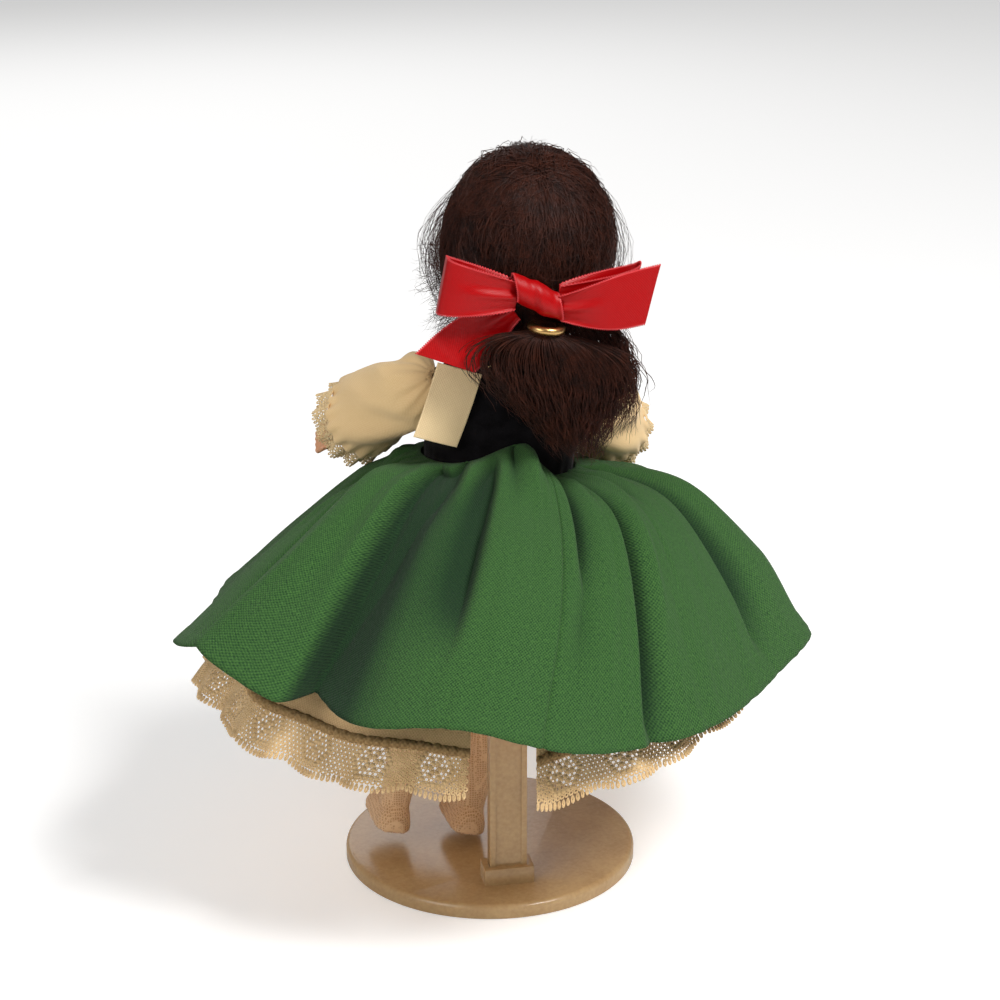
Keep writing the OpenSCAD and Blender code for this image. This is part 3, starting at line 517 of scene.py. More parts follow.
# %% Finishes for the solids that stay
round_shading = bpy.data.node_groups.new("round shading", "GeometryNodeTree")
for direction in ("INPUT", "OUTPUT"):
    round_shading.interface.new_socket("Geometry", in_out=direction, socket_type="NodeSocketGeometry")
solid_in = round_shading.nodes.new("NodeGroupInput").outputs[0]
all_smooth = add_node(round_shading, "GeometryNodeSetShadeSmooth", {"Geometry": solid_in}, domain="FACE")
bend = round_shading.nodes.new("GeometryNodeInputMeshEdgeAngle").outputs["Unsigned Angle"]
sharp = add_node(round_shading, "FunctionNodeCompare", {0: bend, 1: 0.55},
                 operation="GREATER_THAN").outputs[0]
creased = add_node(round_shading, "GeometryNodeSetShadeSmooth",
                   {"Geometry": all_smooth.outputs[0], "Selection": sharp, "Shade Smooth": False},
                   domain="EDGE")
round_shading.links.new(creased.outputs[0], round_shading.nodes.new("NodeGroupOutput").inputs[0])


def finish_node(name, material, edge=0.0):
    """Give a CAD node its finish, rounded edges and smooth shading."""
    obj = nodes[name]
    for slot in obj.material_slots:
        slot.material = material
    add_modifier(obj, "WELD", merge_threshold=1e-6)
    if edge:
        add_modifier(obj, "BEVEL", width=edge, segments=3, limit_method="ANGLE", angle_limit=math.radians(40))
    add_modifier(obj, "NODES", node_group=round_shading)


for name, material, edge in (
        ("stand_base", stand_plastic, 0.0006), ("stand_post", stand_plastic, 0.0004),
        ("waist_clip", stand_plastic, 0.0003),
        ("torso_front", skin_plastic, 0), ("torso_back", skin_plastic, 0),
        ("arm_elastic", elastic_cord, 0), ("leg_elastic", elastic_cord, 0), ("neck_elastic", elastic_cord, 0),
        ("neck_plate", plain_steel, 0.0002), ("eye_saddle", inner_plastic, 0.0002),
        ("eye_axle", plain_steel, 0), ("eye_weight", cast_weight, 0.0002), ("hair_band", ring_brass, 0)):
    finish_node(name, material, edge)
print("finished solids:", sum(len(n.modifiers) > 0 for n in nodes.values()))

# %% [markdown]
# Arms and legs are moulded, with no hard edge anywhere. A voxel remesh of the CAD solid with a few
# passes of smoothing melts its cylinders and spheres into one skin and keeps the fingers apart. A stocking
# is the same leg once more, pushed out by a thread's thickness along its normals, cut level at the top and
# turned down there.

# %% Arms, legs and stockings
STOCKING_TOP = 62.0
STOCKING_OUT = 0.00035
STOCKING_TURN = 0.0015


def cut_away(bm, spot, way):
    """Cut a mesh by a plane and drop what lies on the side that the plane faces."""
    everything = bm.verts[:] + bm.edges[:] + bm.faces[:]
    bmesh.ops.bisect_plane(bm, geom=everything, plane_co=spot, plane_no=way, clear_outer=True)


for side in ("left", "right"):
    made = []
    for limb, voxel, passes in (("arm", 0.0004, 3), ("leg", 0.0006, 4)):
        node = limb + "_" + side
        bm = smooth_copy(node, limb, voxel, passes)
        made.append(piece(limb + "_skin_" + side, bm, node, skin_plastic, (node,), Matrix()))
    bm = smooth_copy("leg_" + side, "stocking", 0.0005, 5)
    bm.normal_update()
    for vert in bm.verts:
        vert.co += vert.normal * STOCKING_OUT
    cut_away(bm, DOLL @ Vector((0, 0, STOCKING_TOP)), up)
    rim = [edge for edge in bm.edges if edge.is_boundary]
    rolled = bmesh.ops.extrude_edge_only(bm, edges=rim)["geom"]
    turned_down = [v for v in rolled if isinstance(v, bmesh.types.BMVert)]
    bmesh.ops.translate(bm, verts=turned_down, vec=-up * STOCKING_TURN)
    made.append(piece("stocking_knit_" + side, bm, "leg_" + side, stocking_net, ("stocking_" + side,),
                      Matrix()))
    print(side, "arm, leg and stocking:", [len(o.data.polygons) for o in made], "faces")

bm = smooth_copy("panties", "panties", 0.0005, 3)
panties = piece("panties_knit", bm, "torso", white_jersey, ("panties",), Matrix())
print("panties:", len(panties.data.polygons), "faces")

# %% [markdown]
# ## Petticoat and lace
# Both skirts hang from an oval waist. A point of either one is found from its share of the way down and its
# bearing round the waist, where 0 degrees is the doll's left and 90 is its back. The petticoat is open at
# the back, where the stand's post comes out, and it leans to one side, as the limp cotton does under the
# skirt.

# %% How the cloth hangs
def waist_radius(bearing, ease):
    """Oval radius of the dressed waist towards a bearing."""
    long, short = 19 + ease, 14 + ease
    return long * short / math.hypot(short * math.cos(bearing), long * math.sin(bearing))


def hang(radius, bearing, drop, turn, drift):
    """A point that hangs from the waist, turned and drifted sideways."""
    x, turn = radius * math.cos(bearing), math.radians(turn)
    return Vector((x * math.cos(turn) + drop * math.sin(turn) + drift, radius * math.sin(bearing),
                   WAIST_H - x * math.sin(turn) + drop * math.cos(turn)))


def soft_folds(bearing, count):
    """Waves of a cloth's folds round the waist, between -1 and 1."""
    return (0.62 * math.cos(count * bearing + 0.593 * math.sin(2 * bearing))
            + 0.38 * math.cos((count - 5) * bearing + 1.222))


PETTI_R, PETTI_DROP, LACE_W = 80.0, 62.0, 13.4
PETTI_SLOPE, BACK_GAP = 96.0, 8.5
LACE_START = 1 - LACE_W / PETTI_SLOPE


def petticoat_point(t, f, out=0.0):
    """A point of the petticoat at t of the way down, and f of the way round between its back edges."""
    back = waist_radius(math.pi / 2, 1.8) * (1 - t) + PETTI_R * t
    shift = 10 * (back / PETTI_R) ** 3
    first = math.acos((shift - BACK_GAP) / back)
    last = math.acos((shift + BACK_GAP) / back) + TURN
    bearing = first + (last - first) * f
    radius = waist_radius(bearing, 1.8) * (1 - t) + PETTI_R * t + soft_folds(bearing, 13) * 2.2 * t
    fall = PETTI_DROP + 7.5 * bell(bearing, 1.15, 0.65) - 6 * math.cos(bearing) ** 2
    drop = -3 - fall * (0.84 * t * (1 - t) + t * t)
    return hang(radius + out, bearing, drop + out * 0.8, 10 * t, 8 * t)


def petticoat_cloth(u, v):
    """The cotton part, with small creases that grow towards its gathered waist."""
    t = LACE_START * v
    crease = noise.noise(Vector((u * 46, v * 2.5, 1.7))) * 0.5 + math.sin(u * 400) * 0.35 * (1 - v) ** 2
    return petticoat_point(t, u, crease * smoothstep(0, 0.1, v))


bm = cloth(360, 44, petticoat_cloth, (0.42, 0.072))
petticoat = piece("petticoat_panel", bm, "torso", petticoat_cotton, ("petticoat",))
thicken(petticoat, 0.0003)
print("petticoat:", len(petticoat.data.polygons), "faces")

# %% [markdown]
# A narrow crinkled tape covers the seam between cotton and lace. It is a small arched strip, so it is swept
# along the seam as a grid: across the tape it arches, along it a quick irregular wave gathers it.

# %% Crinkled tape over the seam
TAPE_WAVES = 190


def tape_point(u, v):
    """A point of the tape, arched across and crinkled along."""
    across_tape = v - 0.5
    crinkle = math.sin(TURN * TAPE_WAVES * u + 2.2 * noise.noise(Vector((u * 60, 0, 4.1))))
    arch = 0.95 - 2.6 * across_tape ** 2 + 0.26 * crinkle
    t = LACE_START + 0.004 + across_tape * 0.026 + 0.0012 * math.sin(TURN * TAPE_WAVES * 0.53 * u + v * 5)
    return petticoat_point(t, u, arch)


tape = piece("petticoat_tape", cloth(1500, 6, tape_point, (0.43, 0.0024)), "torso", trim_tape)
thicken(tape, 0.00025)
print("tape:", len(tape.data.polygons), "faces")

# %% [markdown]
# Machine lace is a net of six-sided meshes with denser flowers, a scalloped lower edge and a row of little
# loops. Modelling one repeat and copying it is how the machine works too. Each mesh is a six-sided circle;
# Inset gives it a border of thread, and where the net is open the middle is deleted. A flower's petals keep
# theirs, and inside the flower's ring the borders are thinner, so the lace opens up there.

# %% One repeat of lace
def lace_repeat(pitch, columns, rows, flower, thread):
    """One repeat of lace in flat millimetres: rows of net down from h = 0, then a loop per column."""
    bm = bmesh.new()
    width, step = pitch * columns, pitch * math.sqrt(3) / 2

    def scallop(x):
        """Rise and fall of the lower edge along the repeat, in rows."""
        return 1.6 * math.sin(math.pi * ((x / width) % 1.0)) ** 0.7

    for row in range(rows):
        for column in range(columns):
            x = (column + 0.5 * (row % 2)) * pitch
            edge = step * (rows - 1.6 + scallop(x))
            if row * step > edge:
                continue
            place = Matrix.Translation((x, row * step, 0)) @ Matrix.Rotation(TURN / 12, 4, "Z")
            made = bmesh.ops.create_circle(bm, cap_ends=True, segments=6, radius=pitch / math.sqrt(3),
                                           matrix=place)
            face = made["verts"][0].link_faces[0]
            dx, dy = x - flower[0], row * step - flower[1]
            if dx > width / 2:
                dx -= width
            ring, way = math.hypot(dx, dy) / flower[2], math.atan2(dy, dx)
            petals = 0.45 + 0.25 * math.cos(6 * way)
            face.material_index = 1 if 0.2 < ring < petals or 1.0 < ring < 1.22 else 2 if ring < 1.0 else 0
    open_net = [f for f in bm.faces if f.material_index == 0]
    thin_net = [f for f in bm.faces if f.material_index == 2]
    bmesh.ops.inset_individual(bm, faces=open_net, thickness=thread / 2, use_even_offset=True)
    bmesh.ops.inset_individual(bm, faces=thin_net, thickness=thread * 0.36, use_even_offset=True)
    bmesh.ops.delete(bm, geom=open_net + thin_net, context="FACES")
    for column in range(columns):
        x = (column + 0.25) * pitch
        edge = step * (rows - 1.0 + scallop(x)) - step * 0.55
        loop = bmesh.ops.create_circle(bm, cap_ends=True, segments=8, radius=1.0)
        bmesh.ops.scale(bm, verts=loop["verts"], vec=(pitch * 0.4, pitch * 0.82, 1))
        bmesh.ops.translate(bm, verts=loop["verts"], vec=(x, edge + pitch * 0.5, 0))
        face = loop["verts"][0].link_faces[0]
        bmesh.ops.inset_individual(bm, faces=[face], thickness=thread * 0.55, use_even_offset=True)
        bmesh.ops.delete(bm, geom=[face], context="FACES")
    for face in bm.faces:
        face.material_index = 0
    bmesh.ops.remove_doubles(bm, verts=bm.verts, dist=0.02)
    mesh = bpy.data.meshes.new("lace repeat")
    bm.to_mesh(mesh)
    bm.free()
    return mesh, width


def lace_strip(repeat, width, count, point):
    """Copies of a repeat side by side, sent to point(share along, millimetres across)."""
    bm = bmesh.new()
    for number in range(count):
        before = len(bm.verts)
        bm.from_mesh(repeat)
        bm.verts.ensure_lookup_table()
        bmesh.ops.translate(bm, verts=bm.verts[before:], vec=(number * width, 0, 0))
    bmesh.ops.remove_doubles(bm, verts=bm.verts, dist=0.02)
    for vert in bm.verts:
        vert.co = point(min(1.0, max(0.0, vert.co.x / (width * count))), vert.co.y)
    bmesh.ops.recalc_face_normals(bm, faces=bm.faces)
    return bm


wide_lace, wide_width = lace_repeat(1.3, 14, 11, (8.45, 5.63, 4.3), 0.76)
LACE_REPEATS = 27


def hem_lace_point(u, h):
    """A point of the hem's lace: it hangs on below the cotton and ruffles towards its edge."""
    s = h / LACE_W
    ruffle = 0.75 * s * math.cos(TURN * 34 * u) + 0.5 * s * noise.noise(Vector((u * 90, s, 8.3)))
    return petticoat_point(LACE_START + (1 - LACE_START) * s, u, ruffle + 0.2)


bm = lace_strip(wide_lace, wide_width, LACE_REPEATS, hem_lace_point)
hem_lace = piece("petticoat_lace_net", bm, "torso", lace_thread, ("petticoat_lace",))
thicken(hem_lace, 0.00032)
print("hem lace:", len(hem_lace.data.polygons), "faces before thickness")

# %% [markdown]
# ## Skirt
# The skirt is a wide flared cut of cotton, gathered into the waist. It stands out almost level at first and
# then falls straight, so its outline is a shelf and a slope. Between broad smooth panels run a few sharp
# folds, and even ones in front: each is written as its bearing at the hem, a half width to either side, a
# height, the stretch of the way down that it takes, and a lean. A negative height is a valley, a short half
# width makes that side steep, and a lean pushes the fold sideways towards the hem. A gather at the waist is
# written as its bearing, half width, height and how far down it reaches.

# %% Folds of the skirt
SKIRT_R, SKIRT_DROP = 86.0, 50.0
FOLDS = [
    (2, 8.0, 7.0, 3.0, 0.20, 1.30, 0), (18, 4.5, 3.4, -13.0, 0.10, 1.30, 5),
    (31, 6.0, 8.0, 4.5, 0.04, 1.30, -11), (46, 1.8, 10.0, -15.0, 0.02, 1.30, -4),
    (42, 2.2, 2.2, 1.5, 0.02, 0.90, 2), (70, 8.0, 1.4, -8.5, 0.02, 0.85, 1),
    (95.5, 1.2, 3.2, -8.0, 0.02, 0.64, -1), (95, 2.0, 3.0, -2.6, 0.50, 0.90, 0),
    (112, 1.6, 3.4, -9.0, 0.04, 1.10, -2), (116, 2.4, 4.5, 1.6, 0.10, 0.95, -1.5),
    (149, 1.6, 10.0, -14.0, 0.02, 0.98, -2), (166, 8.0, 8.0, 4.0, 0.05, 1.30, 2),
]
FOLDS += [(193 + 21 * k, 8.0, 8.0, 3.2 * (-1) ** k, 0.08, 1.30, 0) for k in range(8)]
GATHERS = [
    (55, 3.0, -2.2, 0.42), (62, 2.6, 1.6, 0.34), (77, 2.6, -2.0, 0.3), (83, 2.4, 1.5, 0.3),
    (88, 2.2, -1.6, 0.22), (102, 2.8, 1.8, 0.4), (106, 2.0, -2.0, 0.3), (121, 2.8, 1.6, 0.42),
    (129, 3.0, -2.6, 0.46), (136, 2.6, 1.6, 0.4), (13, 2.6, -1.8, 0.4), (158, 2.6, -1.8, 0.5),
]
random.seed(11)
GATHERS += [(random.uniform(0, 360), random.uniform(1.6, 2.8),
             random.uniform(0.5, 1.1) * random.choice((-1, 1)), random.uniform(0.1, 0.24)) for _ in range(80)]


def crease(x, half):
    """A valley with a sharp bottom, as a fold has, of depth 1."""
    return 0.7 * bell(x, 0, half) + 0.3 * math.exp(-2.2 * abs(x) / half)


def turn_between(first, second):
    """Signed difference of two bearings in degrees."""
    return (first - second + 180) % 360 - 180


def shelf_fall(v, level):
    """Share of the drop at v of the way: level up to about 'level', then a straight slope."""
    def soft(x):
        """A rounded corner at 'level': flat before it, rising after it."""
        return x - level + math.hypot(x - level, 0.14)
    return (soft(v) - soft(0)) / (soft(1) - soft(0))


def folding(degrees, v):
    """How far the folds and gathers push the cloth out at a bearing, and how far they lean sideways."""
    out, lean = 0.0, 0.0
    for angle, before, after, height, start, end, slant in FOLDS:
        away = turn_between(degrees, angle)
        half = before if away < 0 else after
        if abs(away) < 4.5 * half:
            near = bell(away, 0, half) if height > 0 else crease(away, half)
            near *= smoothstep(start, start + 0.2, v) * (1 - smoothstep(end - 0.3, end, v))
            out += height * near
            lean += slant * near * smoothstep(0.4, 1.0, v)
    for angle, half, height, reach in GATHERS:
        away = turn_between(degrees, angle)
        if abs(away) < 4 * half and v < reach:
            near = bell(away, 0, half) if height > 0 else crease(away, half)
            out += 1.5 * height * near * smoothstep(0.0, 0.03, v) * (1 - smoothstep(0.3 * reach, reach, v))
    return max(out, -3.0 - 13 * v), lean


def skirt_point(u, v):
    """A point of the skirt at u of the way round from the front and v of the way down."""
    degrees = u * 360 - 90
    sine, cosine = math.sin(math.radians(degrees)), math.cos(math.radians(degrees))
    front = max(0.0, -sine) ** 0.8
    level = (0.1 + 0.2 * max(0.0, sine) ** 0.8 + 0.28 * max(0.0, -cosine)) * (1 - front)
    lift = (16 * bell(turn_between(degrees, 168), 0, 30) + 10 * bell(turn_between(degrees, 26), 0, 14)
            + 6.5 * bell(degrees, 75, 15) - 8 * bell(turn_between(degrees, 338), 0, 38))
    out, lean = folding(degrees, v)
    out += 1.1 * v * noise.noise(Vector((cosine * 4, sine * 4, v * 2.5)))
    out += 0.5 * noise.noise(Vector((cosine * 26, sine * 26, v * 3.5))) * smoothstep(0, 0.2, v)
    out += (0.3 * smoothstep(0.952, 0.96, v) - 0.2 * bell(v, 0.955, 0.004)
            - 0.9 * bell(degrees, 90.0, 0.4) * smoothstep(0.03, 0.2, v))
    sway = math.sin(math.radians(2 * degrees))
    twist = (1 - v) ** 1.2 * (24 * bell(turn_between(degrees, 92), 0, 42) - 18 * sway)
    bearing = math.radians(degrees + twist) + lean / SKIRT_R
    hem = SKIRT_R + 2 * bell(turn_between(degrees, 174), 0, 20) - 2.5 * cosine + 3 * sway
    radius = waist_radius(bearing, 2.8) * (1 - v) + hem * v + out
    past = math.degrees(bearing) - 100
    rise = 9.5 * bell(past, 0, 44 if past < 0 else 17) * (1 - smoothstep(0.0, 0.34, v))
    point = hang(radius, bearing, 0.9 + rise - (SKIRT_DROP + 1.3 - lift) * shelf_fall(v, level), v, 0)
    dip = 7 * smoothstep(0.76, 1, v) * bell(turn_between(degrees, 164), 0, 24)
    point.z += 0.5 * out * smoothstep(0, 0.1, v) * (1 - v) - dip
    return point


# %% [markdown]
# The folds get painted shade. A float attribute holds how deep in a fold each vertex lies, and the material
# mixes a darker green in by it, so the creases come out darker than the lamps alone make them.

# %% Skirt cloth
SKIRT_FLAT = (0.62, 0.105)
bm = cloth(620, 74, skirt_point, SKIRT_FLAT, True, 0.45)
fold_shade_layer, flat_map = bm.verts.layers.float.new("fold"), bm.loops.layers.uv.active
# How deep each vertex lies in a fold: the mask for the painted shade in the folds.
for vert in bm.verts:
    u, v = vert.link_loops[0][flat_map].uv
    out = folding(u / SKIRT_FLAT[0] * 360 - 90, v / SKIRT_FLAT[1])[0]
    vert[fold_shade_layer] = smoothstep(0.5, -6.0, out)
skirt = piece("skirt_cloth", bm, "torso", green_cotton, ("skirt",))
thicken(skirt, 0.00035)
print("skirt:", len(skirt.data.polygons), "faces")

# %% [markdown]
# ## Bodice, label and sleeves
# The bodice is black velvet, cut close. A remeshed copy of its CAD solid keeps the fit, and small displaced
# creases, deepest at the waist, keep it from looking moulded. The cloth label hangs from its top edge, a
# bare strip that curls a little away from the back.

# %% Bodice and label
bm = smooth_copy("bodice", "bodice", 0.0005, 4)
bm.normal_update()
for vert in bm.verts:
    p = in_doll(vert.co)
    pull = bell(p.z, WAIST_H, 9) * 0.3 * noise.noise(Vector((p.x * 0.5, p.y * 0.5, 0)))
    pull += 0.25 * noise.noise(p * 0.22)
    collar = smoothstep(133, 139.6, p.z) * smoothstep(-2, 6, p.y)
    vert.co += vert.normal * pull * 0.001 - up * 0.0018 * smoothstep(WAIST_H + 4, WAIST_H + 0.5, p.z)
    vert.co += up * 0.0045 * collar - up.cross(across) * 0.0012 * collar
    wider = min(3.5 * smoothstep(8, 15, abs(p.x)) * smoothstep(125, 133, p.z), max(0.0, 21.3 - abs(p.x)))
    vert.co += across * math.copysign(0.001 * wider, p.x)
bodice = piece("bodice_velvet", bm, "torso", black_velvet, ("bodice",), Matrix())

LABEL_W, LABEL_H = 13.6, 21.0
LABEL_WEAVE = (0.013, 0.020)
label_place = (DOLL @ Matrix.Translation((10.4, 12.75, SHOULDER_H + 8))
               @ Matrix.Rotation(math.radians(12), 4, "Z") @ Matrix.Rotation(math.radians(-14), 4, "Y"))


def label_point(u, v):
    """A point of the label: it bows away from the back, and one lower corner lifts."""
    lift = 0.9 * math.sin(math.pi * v * 0.8) + 0.7 * v * v * u + 0.25 * math.sin(math.pi * u)
    return Vector((LABEL_W * u, lift, -LABEL_H * v))


bm = cloth(40, 56, label_point, LABEL_WEAVE)
label = piece("label_tape", bm, "torso", label_tape, ("dress_label",), label_place)
thicken(label, 0.00022)
print("bodice and label:", len(bodice.data.polygons), len(label.data.polygons), "faces")

# %% [markdown]
# A sleeve is a wide tube of thin cotton, gathered at the shoulder and again at the wrist, so it puffs
# between. It is written in the arm's own frame, with the shoulder joint at the middle and the arm hanging
# down, and the arm's pose places it. On the body's side it lies flat against the bodice, which lets the arm
# swing.

# %% Frames of the arms
SHOULDER_X, SPLAY = 25.5, 22.0
SWING = {"left": 52.0, "right": 58.0}
arm_frames = {}
for side, mirror_x in (("left", 1), ("right", -1)):
    arm_frames[side] = (DOLL @ Matrix.Diagonal((mirror_x, 1, 1, 1))
                        @ Matrix.Translation((SHOULDER_X, 0, SHOULDER_H))
                        @ Matrix.Rotation(math.radians(-SWING[side]), 4, "X"))
along_arm = Matrix.Rotation(math.radians(-SPLAY), 4, "Y")
print("arm frames:", {s: [round(c, 4) for c in m.translation] for s, m in arm_frames.items()})

# %% Sleeves
SLEEVE_R, SLEEVE_LEN, SHOULDER_TOP = 12.2, 28.6, 9.0
SLEEVE_INNER = -3.7


def ring_point(radius, angle, height):
    """A point on a level ring."""
    return Vector((radius * math.cos(angle), radius * math.sin(angle), height))


def sleeve_point(u, v):
    """A point of the puffed sleeve, from the shoulder's gathers to the wrist's."""
    angle = u * TURN
    dome = math.sqrt(1 - 0.995 * max(0.0, 1 - v / 0.3) ** 2)
    slack = math.sin(math.pi * min(1.0, 0.12 + v * 0.7)) ** 0.8
    wander = 2 * noise.noise(Vector((math.cos(angle), math.sin(angle), 3)))
    gathers = (0.5 * math.sin(angle * 17 + wander) * bell(v, 1.0, 0.12)
               + 0.22 * math.sin(angle * 13 + 1.3) * bell(v, 0.12, 0.14))
    twist = angle + 1.5 * v
    soft = 0.75 * math.sin(3 * twist + 1.0) + 0.5 * math.sin(5 * twist + 4 * v)
    soft += 1.4 * noise.noise(Vector((math.cos(twist) * 1.6, math.sin(twist) * 1.6, v * 2.6)))
    radius = (SLEEVE_R * (0.76 + 0.17 * v) + soft * slack) * dome + gathers
    point = along_arm @ ring_point(radius, angle, SHOULDER_TOP - (SLEEVE_LEN + SHOULDER_TOP) * v)
    point.x = max(point.x, SLEEVE_INNER + 0.1 * math.sin(angle * 9))
    return point


sleeves = {}
for side in ("left", "right"):
    bm = cloth(150, 70, sleeve_point, (0.085, 0.045), True)
    sleeves[side] = piece("sleeve_cloth_" + side, bm, "arm_" + side, ivory_cotton, ("sleeve_" + side,),
                          arm_frames[side])
    thicken(sleeves[side], 0.0003)
print("sleeves:", [len(s.data.polygons) for s in sleeves.values()], "faces each")

# %% [markdown]
# Cuffs and neck frill are narrow lace from the same recipe as the hem's: smaller meshes, fewer rows. A
# closed strip is sent round the wrist as a flaring, rippled ring.

# %% Lace cuffs and the frill at the neck
narrow_lace, narrow_width = lace_repeat(1.0, 6, 7, (2.5, 2.6, 2.4), 0.5)
NARROW_W = 6.5


def cuff_point(u, h):
    """A point of the cuff's lace, flaring and rippling away from the wrist."""
    angle, s = u * TURN, h / NARROW_W
    radius = 10.9 + 0.9 * s + (0.25 + 0.55 * s) * math.cos(12 * angle)
    radius += 0.4 * s * noise.noise(Vector((u * 20, s, 0)))
    height = -SLEEVE_LEN + 0.5 - h * 0.92 + 0.3 * s * math.sin(12 * angle)
    return along_arm @ ring_point(radius, angle, height)


cuffs = {}
for side in ("left", "right"):
    bm = lace_strip(narrow_lace, narrow_width, 14, cuff_point)
    bmesh.ops.remove_doubles(bm, verts=bm.verts, dist=0.03)
    cuffs[side] = piece("cuff_lace_" + side, bm, "arm_" + side, cuff_thread, ("cuff_" + side,),
                        arm_frames[side])
    thicken(cuffs[side], 0.0003)


def frill_point(u, h):
    """A point of the neck's frill, standing out round the neck."""
    angle, s = u * TURN, h / NARROW_W
    radius = 8.6 + 3.2 * s + 0.35 * s * math.cos(15 * angle)
    height = 142.4 - 1.3 * s + 0.5 * s * math.sin(15 * angle)
    return ring_point(radius, angle, height)


bm = lace_strip(narrow_lace, narrow_width, 9, frill_point)
bmesh.ops.remove_doubles(bm, verts=bm.verts, dist=0.03)
frill = piece("neck_frill", bm, "torso", cuff_thread, ("neck_ruffle",))
thicken(frill, 0.0003)
laces = (cuffs["left"], frill)
print("cuff and frill:", [len(o.data.polygons) for o in laces], "faces before thickness")

# %% [markdown]
# ## Head and face
# The head starts as a sphere of the head's width, depth and height. A doll's face is a few soft swellings:
# full cheeks, a small nose, lips and a chin. Each one is a bell-shaped push out or in, placed by millimetres
# across and up the face. Lips and blush are painted through a colour attribute that is written along with
# them.

# %% Head form
HEAD = Vector((0, 0, HEAD_H))
HEAD_HALF = Vector((21.0, 22.5, 25.5))
EYE_X, EYE_R = 8.8, 5.2
MOUTH_Z = -12.4
# Each swelling or hollow: its height, its place across and up, its half width and half height.
FACE = {
    "cheeks": (1.2, 10.5, -9.5, 6.5, 6.0),
    "nose tip": (2.5, 0, -6.2, 1.7, 2.0),
    "nose bridge": (1.0, 0, -2.6, 1.5, 3.4),
    "nostrils": (0.45, 1.7, -6.9, 0.9, 1.1),
    "upper lip": (0.75, 1.1, -11.4, 1.7, 0.75),
    "lower lip": (0.95, 0, -13.3, 2.0, 0.85),
    "mouth line": (-0.55, 0, -12.3, 3.1, 0.35),
    "groove under the nose": (-0.4, 0, -9.3, 0.7, 1.2),
    "chin": (1.3, 0, -18.6, 3.6, 2.6),
    "groove over the chin": (-0.5, 0, -15.6, 3.0, 0.9),
    "eye hollows": (-0.7, EYE_X, 0.4, 5.4, 4.4),
}
BLUSH = (0.85, 11.2, -9.0, 4.2, 3.4)
eye_middle = joint_point("eyes_sleep")


def face_bell(x, z, height, at_x, at_z, wide, tall):
    """A hump on each half of the face, by millimetres across and up from the middle of the head."""
    return height * (bell(abs(x), at_x, wide) * bell(z, at_z, tall))


bm = bmesh.new()
paint = bm.verts.layers.float_color.new("paint")
bmesh.ops.create_uvsphere(bm, u_segments=168, v_segments=126, radius=1.0)
for vert in bm.verts:
    way = vert.co.normalized()
    p = Vector((way.x * HEAD_HALF.x, way.y * HEAD_HALF.y, way.z * HEAD_HALF.z))
    out = lips = blush = 0.0
    if p.y < 0:
        side_x = abs(p.x)
        out = sum(face_bell(p.x, p.z, *form) for form in FACE.values())
        bowed = 0.9 - 0.35 * bell(side_x, 0, 0.6)
        upper = math.hypot(side_x / 3.4, max(0.0, p.z - MOUTH_Z) / (1.7 * bowed))
        lower = math.hypot(side_x / 2.7, min(0.0, p.z - MOUTH_Z) / 1.8)
        lips = 1 - smoothstep(0.8, 1.05, upper if p.z > MOUTH_Z else lower)
        blush = face_bell(p.x, p.z, *BLUSH)
    jaw = smoothstep(-8, -24, p.z)
    p.x *= 1 - 0.1 * jaw
    vert[paint] = (lips, blush, 0, 1)
    vert.co = HEAD + p + way * out
head = piece("head_skin", bm, "head", None, ("head_shell",))
print("head:", len(head.data.polygons), "faces")

# %% [markdown]
# The eye openings are cut with a Boolean modifier: an oval tool takes a pocket out of the face, and the
# eyeball turns inside it. Cutting keeps the rim crisp, as on a moulded shell.

# %% Eye openings
tool = bmesh.new()
for side in (-1, 1):
    made = bmesh.ops.create_cone(tool, cap_ends=True, segments=48, radius1=1.0, radius2=1.0, depth=9.0,
                                 matrix=Matrix.Rotation(TURN / 4, 4, "X"))
    for vert in made["verts"]:
        x, z = vert.co.x, vert.co.z
        vert.co.x = x * 4.7
        vert.co.z = z * (3.1 if z > 0 else 2.7) + 0.35 * side * x
    bmesh.ops.translate(tool, verts=made["verts"], vec=(side * EYE_X, eye_middle.y - 7.0, eye_middle.z))
cutter = piece("eye_tool", tool, None, [])
add_modifier(head, "BOOLEAN", operation="DIFFERENCE", object=cutter, solver="EXACT")
apply_modifiers(head)
bpy.data.objects.remove(cutter)
head.data.shade_smooth()
head.data.set_sharp_from_angle(angle=math.radians(50))

face_paint, tree, shader = new_material("face_paint", Roughness=0.38, Subsurface_Weight=0.06,
                                        Subsurface_Scale=0.002)
mottle = place_group(tree, grain, Scale=700, Light=colour(236, 182, 144), Dark=colour(229, 172, 134),
                     Stretch=0.08)
painted = add_node(tree, "ShaderNodeAttribute", attribute_name="paint").outputs["Color"]
masks = add_node(tree, "ShaderNodeSeparateColor", {0: painted}).outputs
rosy = blend_colours(tree, masks[1], mottle["Color"], colour(222, 126, 104))
tree.links.new(blend_colours(tree, masks[0], rosy, colour(188, 62, 62)), shader["Base Color"])
tree.links.new(bump(tree, mottle["Height"], 0.00003), shader["Normal"])
head.data.materials.clear()
head.data.materials.append(face_paint)
print("face cut and painted:", len(head.data.polygons), "faces")

# %% [markdown]
# Sleep eyes are balls that tip on an axle when the doll is laid down. Each ball carries its own lid: a thin
# shell over the upper part of the ball, in the colour of the skin. The iris is painted by a Float attribute
# that holds each vertex's angle from the line of sight, sent through a Color Ramp.

